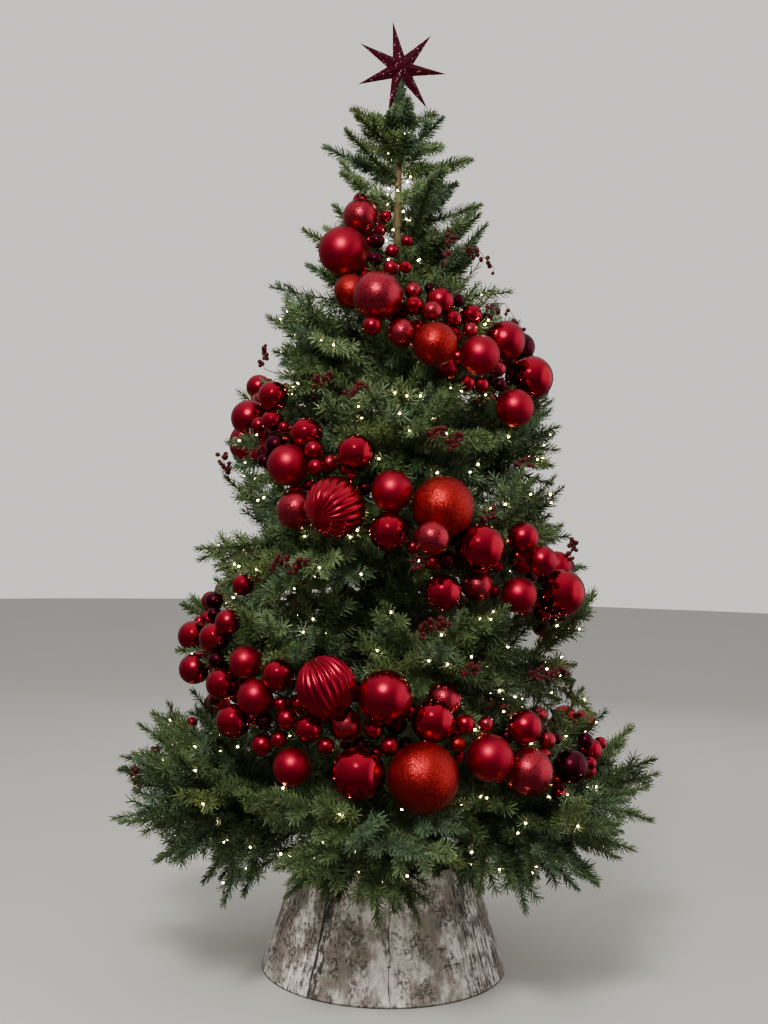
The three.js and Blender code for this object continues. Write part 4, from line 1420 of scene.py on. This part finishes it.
def wound_tube(points, radii, sides, relief, pitch):
    """A limb whose surface stands out by a saw-tooth of the distance along it less the angle round
    it, so that a wound tape's turns lap each other."""
    length = np.concatenate([[0], np.cumsum(np.linalg.norm(np.diff(points, axis=0), axis=1))])
    angle = np.arange(sides) / sides
    turn = (length[:, None] / pitch - angle[None]) % 1
    surface = radii[:, None] - relief * turn
    return tubes(points[None], surface[None], sides)


def limb_line(rule):
    """The points of a bough with the stem that it carries, or of a stem that starts a little inside
    the pole, and the limb's radius at each."""
    stem = stem_points(rule, np.linspace(0, 1, 26))
    radii = np.linspace(STEM_RADIUS, STEM_END_RADIUS, 26)
    if not rule["bough_reach"]:
        inside = stem[:1] - (stem[1:2] - stem[:1]) * 0.3
        return np.concatenate([inside, stem[1:]]), radii
    bough = bough_points(rule, np.linspace(0, 1, 22))[:-1]
    radii = np.concatenate([np.linspace(BOUGH_RADIUS, STEM_RADIUS, 21), radii])
    return np.concatenate([bough, stem]), radii


class TREE_OT_limbs(bpy.types.Operator):
    """Pole and boughs with their wound relief"""
    bl_idname = "tree.limbs"
    bl_label = "Pole and boughs"

    def execute(self, context):
        settings = context.scene.tree_limbs
        pole_coat = limb_material("wound_tape_on_pole", settings.paint, 22)
        bough_tape = limb_material("wound_tape_on_boughs", settings.bark, 60)
        height = np.linspace(POLE_FOOT, POLE_TIP_HEIGHT, 520)
        points = in_plane(0, 0 * height, 0, height)
        pole = wound_tube(points, pole_radius(height), 20, settings.relief, 0.045)
        mesh_piece("pole", pole, pole_coat, replaced=["trunk"])
        boughs = joined([wound_tube(*limb_line(rule), 9, settings.relief, 0.016)
                         for rule in mass_rules()])
        mesh_piece("boughs", boughs, bough_tape, replaced=nodes_named("bough_"))

        # Moulded black receivers that the boughs hook into, one round the pole at each tier.
        material = mottled("moulded_receiver", 300.0, linear("#20241d"), linear("#31362b"),
                           Roughness=0.5)
        profile = [(0, -0.013), (0.022, -0.013), (0.027, -0.010), (0.029, 0.006), (0.026, 0.012),
                   (0.021, 0.013), (0, 0.013)]
        places = np.array([[0, 0, tier["height"]] for tier in TIERS])
        axes = np.tile([0.0, 0.0, 1.0], (len(TIERS), 1))
        rings = copies(lathe(profile, 24), places, np.ones(len(TIERS)), axes)
        mesh_piece("bough_receivers", rings, material)
        return {"FINISHED"}


def twig_tubes(shoots):
    """Three-sided tubes along the shoots, thinner to their tips. Main shoots have more points."""
    parts = []
    for is_main, stations, thick in ((True, 4, 0.0021), (False, 2, 0.0012)):
        chosen = np.flatnonzero(shoots["main"] == is_main)
        share = np.linspace(0, 1, stations)
        owner = np.repeat(chosen, stations)
        points = shoot_points(shoots, owner, np.tile(share, len(chosen)))
        radii = np.tile(thick * (1 - 0.55 * share), (len(chosen), 1))
        parts.append(tubes(points.reshape(len(chosen), stations, 3), radii, 3))
    return joined(parts)


NEEDLES_IN_PIECE = 90000


class TREE_OT_foliage(bpy.types.Operator):
    """Twigs and needles of every mass"""
    bl_idname = "tree.foliage"
    bl_label = "Foliage"

    def execute(self, context):
        settings = context.scene.tree_foliage
        foliage = nodes_named("foliage_")
        shoots = foliage_shoots()
        # Thin PVC tape twisted on wire: matt brown green, a little uneven.
        tape = mottled("twisted_twig_tape", 120.0, shade(settings.twig, 0.55), settings.twig[:],
                       Roughness=0.75)
        mesh_piece("twigs", twig_tubes(shoots), tape, replaced=foliage)

        leader = leader_shoots()
        shoots = {key: np.concatenate([shoots[key], leader[key]]) for key in shoots}
        corners, colour = needle_shape(shoots, settings)
        clear = outside_baubles(corners)
        corners, colour = corners[clear], colour[clear]
        # PVC film cut into needles: a slightly waxy green. Each spray has one plain colour. The dark
        # film, dealt mostly deep in the crown and low down, is painted shade.
        greens = {"mid": settings.mid_green, "blue": settings.blue_green,
                  "fresh": settings.fresh_green, "dark": settings.dark_green,
                  "olive": settings.olive_green}
        for number, (name, green) in enumerate(greens.items()):
            film, _, shader = finish(f"{name}_needle_film", Roughness=0.52)
            shader.inputs["Base Color"].default_value = green
            own = corners[colour == number]
            batches = math.ceil(len(own) / NEEDLES_IN_PIECE)
            for batch, some in enumerate(np.array_split(own, batches)):
                start = (np.arange(len(some)) * 4)[:, None, None]
                faces = (np.array([[0, 1, 2], [0, 2, 3]]) + start).reshape(-1, 3)
                mesh_piece(f"needles_{name}_{batch + 1}", (some.reshape(-1, 3), faces), film,
                           smooth=False, replaced=foliage)
        return {"FINISHED"}


def tilted(tree, colour, amount):
    """The surface's normal, tipped by a colour's three channels less one half."""
    lean = add(tree, "ShaderNodeVectorMath", {"operation": "SUBTRACT"}, {
        0: colour, 1: (0.5, 0.5, 0.5)})
    surface = add(tree, "ShaderNodeNewGeometry").outputs["Normal"]
    tip = add(tree, "ShaderNodeVectorMath", {"operation": "MULTIPLY_ADD"}, {
        0: lean.outputs[0], 1: (amount, amount, amount), 2: surface})
    whole = add(tree, "ShaderNodeVectorMath", {"operation": "NORMALIZE"}, {0: tip.outputs[0]})
    return whole.outputs[0]


def lacquer_material(name, colour, roughness):
    """A vacuum-metallised ball under tinted lacquer: a saturated metal red whose roughness comes from
    the lacquer, with the orange-peel that dipping leaves, drawn at 6 mm to show."""
    material, tree, shader = finish(name, Metallic=1.0)
    place = object_place(tree)
    uneven = noise(tree, place, 30.0)
    tone = blended(tree, uneven, shade(colour, 0.8), colour[:])
    tree.links.new(tone, shader.inputs["Base Color"])
    roughened(tree, shader, uneven, roughness * 0.85, roughness * 1.15)
    bumped(tree, shader, noise(tree, place, 160.0), 0.15, 0.0003)
    return material


def glitter_material(colour):
    """Glitter glued on: flakes of 0.5 mm, drawn at 1.3 mm to show, each with its own tilt and
    tone."""
    material, tree, shader = finish("glued_glitter", Metallic=1.0, Roughness=0.4)
    flakes = add(tree, "ShaderNodeTexVoronoi", inputs={
        "Vector": object_place(tree), "Scale": 780.0}).outputs["Color"]
    value = add(tree, "ShaderNodeSeparateColor", inputs={0: flakes}).outputs[0]
    tone = blended(tree, value, shade(colour, 0.4), colour[:])
    tree.links.new(tone, shader.inputs["Base Color"])
    tree.links.new(tilted(tree, flakes, 0.42), shader.inputs["Normal"])
    return material


def crackle_material(red):
    """Crackle lacquer: a mirror red under frost that has split into cells of 4 mm."""
    material, tree, shader = finish("crackle_lacquer", Metallic=1.0)
    place = object_place(tree)
    cells = add(tree, "ShaderNodeTexVoronoi", {"feature": "DISTANCE_TO_EDGE"}, {
        "Vector": place, "Scale": 240.0})
    split = stepped(tree, cells.outputs["Distance"], 0.02, 0.2)
    pale = [1.1 * red[0] + 0.06, red[1] + 0.09, red[2] + 0.09, 1]
    frost = times(tree, noise(tree, place, 420.0, 4.0), 0.8)
    tone = blended(tree, split, shade(red, 0.85), blended(tree, frost, red[:], pale))
    tree.links.new(tone, shader.inputs["Base Color"])
    roughened(tree, shader, split, 0.16, 0.3)
    bumped(tree, shader, split, 0.2, 0.0005)
    return material


def bauble_materials(settings):
    """The finishes of blown plastic baubles, metallised red on the outside."""
    red, deep_red = settings.red, settings.deep_red
    return {
        "matt": lacquer_material("matt_lacquered_metallising", red, 0.43),
        "satin": lacquer_material("satin_metallising", red, 0.27),
        "shiny": lacquer_material("mirror_metallising", deep_red, 0.09),
        "burgundy": lacquer_material("burgundy_metallising", settings.burgundy, 0.2),
        "fluted": lacquer_material("fluted_mirror_metallising", deep_red, 0.16),
        "ribbed": lacquer_material("ribbed_satin_metallising", red, 0.28),
        "glitter": glitter_material(settings.orange_red),
        "crackle": crackle_material(red),
    }


def ball_profile(rows):
    """A ball of radius 1 as (radius, height) points by polar angle, drawn up a little to its neck."""
    polar = np.linspace(0, np.pi, rows + 1)
    stretch = 1 + 0.035 * np.clip(-np.cos(polar), 0, 1) ** 6
    return np.stack([np.sin(polar), -np.cos(polar) * stretch], axis=1)


def fluted(rings, angle):
    """Twenty-four sharp folds that die away at both poles: 1 - depth |sin| of the angle."""
    polar = np.arctan2(rings[:, 0], rings[:, 1])[:, None]
    return 1 - 0.055 * np.sin(polar) ** 0.8 * np.abs(np.sin(12 * angle[None]))


def ribbed(rings, angle):
    """Twenty-two rounded ribs with narrow valleys between them, from pole to pole, a little wound:
    1 - depth (1 - |sin|) of the angle plus a twist by height."""
    polar = np.arctan2(rings[:, 0], rings[:, 1])[:, None]
    wave = np.abs(np.sin(11 * angle[None] + 0.5 * polar))
    return 1 - 0.07 * np.sin(polar) ** 0.5 * (1 - wave)


# The finishes whose balls are folded, with sides and rows enough for the folds. The others have
# fewer the smaller they are: least and greatest radius in metres, sides and rows.
RIPPLES = {"fluted": fluted, "ribbed": ribbed}
RIPPLED_GRID = (264, 26)
BALL_GRIDS = ((0, 0.02, 12, 7), (0.02, 0.03, 16, 9), (0.03, 0.045, 22, 12), (0.045, 1, 34, 18))


def balls(kind):
    """All the baubles of one finish as one shape."""
    finishes, places, radii, _, _ = bauble_layout()
    axes = bauble_axes()
    ripple = RIPPLES.get(kind)
    parts = []
    for low, high, *grid in BALL_GRIDS:
        chosen = (finishes == kind) & (radii >= low) & (radii < high)
        if chosen.any():
            sides, rows = RIPPLED_GRID if ripple else grid
            shape = lathe(ball_profile(rows), sides, ripple)
            parts.append(copies(shape, places[chosen], radii[chosen], axes[chosen]))
    return joined(parts)


class TREE_OT_baubles(bpy.types.Operator):
    """The garland's baubles, one piece for each finish"""
    bl_idname = "tree.baubles"
    bl_label = "Baubles"

    def execute(self, context):
        for kind, material in bauble_materials(context.scene.tree_baubles).items():
            mesh_piece(f"baubles_{kind}", balls(kind), material)
        return {"FINISHED"}


def local_way(x, y, z):
    """A direction given in the camera's own right, up and back."""
    return np.array(camera_turn()) @ unit(np.array([x, y, z], float))


def bauble_axes():
    """Which way each bauble's cap points: inwards and up, with a little chance. The fluted and the
    ribbed ones are turned as the photograph shows them."""
    finishes, places, _, _, _ = bauble_layout()
    rng = np.random.default_rng(3)
    axes = unit(-outwards(places) + [0, 0, 0.55] + rng.normal(0, 0.16, places.shape))
    axes[finishes == "fluted"] = -local_way(-0.55, -0.35, 0.76)
    axes[finishes == "ribbed"] = local_way(0.45, -0.89, 0.02)
    return axes


class TREE_OT_garland(bpy.types.Operator):
    """The garland's wire, with caps and ties for its baubles"""
    bl_idname = "tree.garland"
    bl_label = "Garland wire and caps"

    def execute(self, context):
        # Anodised aluminium caps in the baubles' own red: thin crimped metal with a soft gleam.
        metal = mottled("red_anodised_cap", 400.0, linear("#5d0a12"), linear("#8d1a20"),
                        Metallic=1.0, Roughness=0.3)
        _, places, radii, _, sight_lengths = bauble_layout()
        shown = sight_lengths > 0
        places, radii, axes = places[shown], radii[shown], bauble_axes()[shown]
        profile = [(0, 0.95), (0.19, 0.95), (0.21, 1.03), (0.19, 1.12), (0.07, 1.16),
                   (0.05, 1.28), (0, 1.28)]
        mesh_piece("bauble_caps", copies(lathe(profile, 8), places, radii, axes), metal)

        # Green-lacquered florist's wire: dull and dark, slightly uneven.
        lacquered = mottled("lacquered_wire", 90.0, linear("#1c2a1a"), linear("#2f3d26"),
                            Roughness=0.6)
        azimuth = np.linspace(GARLAND_AZIMUTHS[0], GARLAND_AZIMUTHS[-1], 520)
        core = garland_point(azimuth, -0.045)
        roots = places + axes * radii[:, None] * 1.2
        gaps = np.linalg.norm(roots[:, None] - core[None], axis=2)
        nearest = core[gaps.argmin(axis=1)]
        share = np.linspace(0, 1, 4)[None, :, None]
        ties = roots[:, None] * (1 - share) + nearest[:, None] * share
        ties[:, 1] += axes * 0.006
        wire = joined([wires(core[None], 0.0025, 6), wires(ties, 0.0008, 3)])
        mesh_piece("garland_wire", wire, lacquered)
        return {"FINISHED"}


BACK_PICKS = 16


def berry_picks(rng):
    """Where each berry pick leaves the foliage and where it ends: those in the photograph, on the
    crown where their pixels' rays meet it, and some at the back."""
    edge = np.array(CROWN_RADII) * 0.97
    pixels = np.array(BERRY_PICKS, float)
    feet, _ = met_on_round(pixels[:, :2], CROWN_LEVELS, edge)
    tips, rays = met_on_round(pixels[:, 2:], CROWN_LEVELS, edge)
    feet, tips = feet - rays * 0.022, tips - rays * 0.036
    height = rng.uniform(0.4, 1.4, BACK_PICKS)
    turn = rng.uniform(np.radians(-25), np.radians(205), BACK_PICKS)
    out = np.interp(height, CROWN_LEVELS, edge) * 0.95
    behind = in_plane(turn, out, 0, height)
    ends = in_plane(turn + rng.uniform(-0.12, 0.12, BACK_PICKS), out + 0.01, 0, height + 0.05)
    return np.concatenate([feet, behind]), np.concatenate([tips, ends])


class TREE_OT_berries(bpy.types.Operator):
    """Picks of berries in the foliage"""
    bl_idname = "tree.berries"
    bl_label = "Berries"

    def execute(self, context):
        settings = context.scene.tree_baubles
        rng = np.random.default_rng(17)
        feet, tips = berry_picks(rng)
        inner = feet - outwards(feet) * 0.08 - [0, 0, 0.03]
        length = np.linalg.norm(tips - feet, axis=1, keepdims=True)
        middle = (feet + tips) / 2 + rng.normal(0, 0.004, feet.shape) + length * [0, 0, 0.22]
        stems = np.stack([inner, feet, middle, tips], axis=1)
        share = np.linspace(0.1, 1, BERRIES_ON_PICK)[None, :, None]
        line = (feet[:, None] * (1 - share) ** 2 + 2 * middle[:, None] * share * (1 - share)
                + tips[:, None] * share ** 2)
        along = unit(tips - feet)[:, None]
        aside = unit(np.cross(along, rng.normal(size=line.shape)))
        aside = aside * rng.uniform(0.005, 0.012, (*line.shape[:2], 1)) + along * 0.003
        places = (line + aside).reshape(-1, 3)
        stalks = np.stack([line, line + aside * 0.8], axis=2).reshape(-1, 2, 3)

        # Lacquered foam berries: deep red with a wet gloss and darker bloom in patches.
        lacquer = mottled("berry_lacquer", 150.0, shade(settings.berry, 0.45), settings.berry[:],
                          Roughness=0.32, Specular_IOR_Level=0.3)
        profile = [(0, -1), (0.62, -0.8), (1, 0.0), (0.66, 0.78), (0.2, 1.0), (0, 1.06)]
        sizes = settings.berry_radius * rng.uniform(0.8, 1.15, len(places))
        berries = copies(lathe(profile, 8), places, sizes, unit(aside).reshape(-1, 3))
        mesh_piece("berries", berries, lacquer)

        # Paper-covered stems: matt brown.
        paper = mottled("berry_stem_paper", 200.0, linear("#2c2416"), linear("#4a3c26"),
                        Roughness=0.8)
        stems_and_stalks = joined([wires(stems, 0.0011, 4), wires(stalks, 0.0007, 3)])
        mesh_piece("berry_stems", stems_and_stalks, paper)
        return {"FINISHED"}


# The fairy lights' line: how far the string lies from the pole by height, and its turns. Below the
# snag height each bulb is fixed to the nearest shoot, and above it the string is wound on the pole.
STRING_LEVELS = [0.27, 0.43, 0.6, 0.775, 0.935, 1.12, 1.3, 1.43, 1.55, 1.62, 1.66, 1.95]
STRING_RADII = [0.4, 0.52, 0.49, 0.44, 0.39, 0.37, 0.33, 0.3, 0.22, 0.12, 0.024, 0.018]
STRING_TURNS = 23
SNAG_HEIGHT = 1.62
SNAG_DISTANCE = 0.11
LONGEST_RUN = 0.1
LEAD_RADIUS = 0.0011
BULB_CLEAR = 0.003


def light_places(count):
    """Where the string passes and where its bulbs sit: even steps along a winding line, each moved to
    the nearest point of a shoot that no other bulb has taken, and left out where none is near. On
    the bare top they follow the pole."""
    rng = np.random.default_rng(41)
    share = (np.arange(count) + rng.uniform(0.2, 0.8, count)) / count
    height = STRING_LEVELS[0] + (STRING_LEVELS[-1] - STRING_LEVELS[0]) * share ** 1.4
    kept = (height < SNAG_HEIGHT) | (np.arange(count) % 3 == 0)
    share, height = share[kept], height[kept]
    count = len(share)
    out = np.interp(height, STRING_LEVELS, STRING_RADII)
    out = out * np.where(height < SNAG_HEIGHT, rng.uniform(0.72, 1.1, count), 1)
    line = in_plane(2 * np.pi * STRING_TURNS * share, out, 0, height)
    shoots = foliage_shoots()
    owner = np.arange(len(shoots["main"]))
    points = shoot_points(shoots, owner, rng.uniform(0.3, 0.95, len(owner)))
    taken = np.zeros(len(points), bool)
    held = height >= SNAG_HEIGHT
    for number in np.flatnonzero(~held):
        gap = np.linalg.norm(points - line[number], axis=1) + taken
        nearest = gap.argmin()
        if gap[nearest] < SNAG_DISTANCE:
            taken[nearest] = held[number] = True
            line[number] = points[nearest]
    line = line[held]
    ways = unit(outwards(line) + [0, 0, 0.4] + rng.normal(0, 0.5, line.shape))
    return line, line + ways * rng.uniform(0.008, 0.018, (len(line), 1)), ways


class TREE_OT_lights(bpy.types.Operator):
    """The string of fairy lights"""
    bl_idname = "tree.lights"
    bl_label = "Fairy lights"

    def execute(self, context):
        settings = context.scene.tree_lights
        places, bulbs, ways = light_places(settings.bulbs)
        inwards = outwards(places) * np.where(places[:, 2:] < SNAG_HEIGHT, 0.012, 0)
        halfway = (places[:-1] + places[1:]) / 2 - inwards[:-1]
        runs = np.stack([places[:-1], halfway, places[1:]], axis=1)
        runs = runs[np.linalg.norm(runs[:, 2] - runs[:, 0], axis=1) < LONGEST_RUN]
        _, middles, radii, _, _ = bauble_layout()
        gap = np.linalg.norm(bulbs[:, None] - middles[None], axis=2) - radii[None]
        clear = gap.min(axis=1) > BULB_CLEAR
        places, bulbs, ways = places[clear], bulbs[clear], ways[clear]
        leads = np.stack([places, bulbs], axis=1)

        # Soft PVC lead: dark green, faintly glossy.
        plastic = mottled("green_pvc_lead", 70.0, linear("#152016"), linear("#22301f"),
                          Roughness=0.4)
        string = joined([wires(runs, LEAD_RADIUS, 3), wires(leads, LEAD_RADIUS, 3)])
        mesh_piece("light_wire", string, plastic)

        # A warm white LED in a clear moulded bulb: it shows as a bright point.
        glass, tree, shader = finish("warm_white_bulb", Roughness=0.2, Base_Color=settings.glow,
                                     Emission_Color=settings.glow,
                                     Emission_Strength=settings.strength)
        profile = [(0, -1), (0.8, -0.7), (1, 0.2), (0.6, 1.1), (0, 1.5)]
        sizes = np.full(len(bulbs), settings.bulb_radius)
        mesh_piece("light_bulbs", copies(lathe(profile, 6), bulbs, sizes, ways), glass)
        return {"FINISHED"}


def star_shape():
    """Folded points and waists round a front and a back middle. In each facet a corner is the middle
    plus s times (the way to the rim), with t along the rim from point to waist."""
    number = np.arange(2 * STAR_POINTS + 1)
    turn = np.radians(STAR_FIRST_POINT) + number * np.pi / STAR_POINTS
    radius = np.where(number % 2, STAR_WAIST_RADIUS, STAR_RADIUS)
    rim = np.stack([radius * np.cos(turn), 0 * turn, radius * np.sin(turn)], axis=1)
    rows, columns = 15, 6
    s, t = np.meshgrid(np.linspace(0, 1, rows), np.linspace(0, 1, columns), indexing="ij")
    triangles = grid_triangles(rows, columns, False)
    parts = []
    for face in (-1, 1):
        middle = np.array([0, face * STAR_DEPTH, 0])
        for start, end in zip(rim[:-1], rim[1:]):
            edge = start + (end - start) * t[..., None]
            corners = middle + (edge - middle) * s[..., None]
            parts.append((corners.reshape(-1, 3), triangles if face < 0 else triangles[:, ::-1]))
    corners, triangles = joined(parts)
    x, y, z = corners.T
    return in_plane(math.radians(STAR_TURN), x, y, z + STAR_HEIGHT), triangles


def paper_material(settings):
    """Heavy dyed paper, folded: matt burgundy with a slight nap, pricked with holes that catch
    light."""
    material, tree, shader = finish("folded_dyed_paper", Roughness=0.75, Specular_IOR_Level=0.1)
    place = object_place(tree)
    dots = add(tree, "ShaderNodeTexVoronoi", inputs={"Vector": place, "Scale": 115.0})
    holes = stepped(tree, dots.outputs["Distance"], 0.3, 0.16)
    patchy = stretched_marks(tree, place, (60, 60, 60), 0.42, 0.5)
    nap = noise(tree, place, 90.0, 5.0)
    tone = blended(tree, nap, shade(settings.paper, 0.5), settings.paper[:])
    tone = blended(tree, times(tree, times(tree, holes, patchy), 0.9), tone, settings.pinhole[:])
    tree.links.new(tone, shader.inputs["Base Color"])
    bumped(tree, shader, nap, 0.2, 0.0004)
    return material


class TREE_OT_star(bpy.types.Operator):
    """The folded paper star and its holder"""
    bl_idname = "tree.star"
    bl_label = "Star"

    def execute(self, context):
        mesh_piece("paper_star", star_shape(), paper_material(context.scene.tree_star),
                   smooth=False, replaced=["star"])

        # The holder: a card tube wound in green florist's tape that slips over the pole's tip.
        card = mottled("taped_card", 250.0, linear("#0f150b"), linear("#1b2412"), Roughness=0.75)
        low, top = POLE_TIP_HEIGHT - 0.034, STAR_HEIGHT - 0.008
        radius = pole_radius(low) + 0.003
        profile = [(0, low + 0.03), (radius - 0.001, low), (radius + 0.0005, low + 0.001),
                   (radius, top), (radius * 0.6, top + 0.002), (0, top + 0.003)]
        mesh_piece("star_holder", lathe(profile, 20), card)
        return {"FINISHED"}


class TREE_PT_panel(bpy.types.Panel):
    """Buttons for every part of the tree"""
    bl_label = "Christmas tree"
    bl_space_type = "VIEW_3D"
    bl_region_type = "UI"
    bl_category = "Tree"

    def draw(self, context):
        for operator in OPERATORS:
            self.layout.operator(operator.bl_idname)
        for name in SETTINGS:
            group = getattr(context.scene, name)
            box = self.layout.box()
            for key in group.bl_rna.properties.keys():
                if key not in ("name", "rna_type"):
                    box.prop(group, key)


SETTINGS = {
    "tree_foliage": FoliageSettings, "tree_limbs": LimbSettings, "tree_baubles": BaubleSettings,
    "tree_lights": LightSettings, "tree_collar": CollarSettings, "tree_star": StarSettings,
    "tree_stage": StageSettings,
}
OPERATORS = [TREE_OT_stage, TREE_OT_stand, TREE_OT_collar, TREE_OT_limbs, TREE_OT_star,
             TREE_OT_baubles, TREE_OT_garland, TREE_OT_berries, TREE_OT_lights, TREE_OT_foliage]
CLASSES = [*SETTINGS.values(), *OPERATORS, TREE_PT_panel]


def register():
    for kind in CLASSES:
        bpy.utils.register_class(kind)
    for name, group in SETTINGS.items():
        setattr(bpy.types.Scene, name, bpy.props.PointerProperty(type=group))


def unregister():
    for name in SETTINGS:
        delattr(bpy.types.Scene, name)
    for kind in reversed(CLASSES):
        bpy.utils.unregister_class(kind)


def main():
    """Builds the stage and every piece."""
    register()
    bpy.ops.tree.stage()
    bpy.ops.tree.stand()
    bpy.ops.tree.collar()
    bpy.ops.tree.limbs()
    bpy.ops.tree.star()
    bpy.ops.tree.baubles()
    bpy.ops.tree.garland()
    bpy.ops.tree.berries()
    bpy.ops.tree.lights()
    bpy.ops.tree.foliage()
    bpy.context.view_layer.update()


if __name__ == "__main__":
    main()
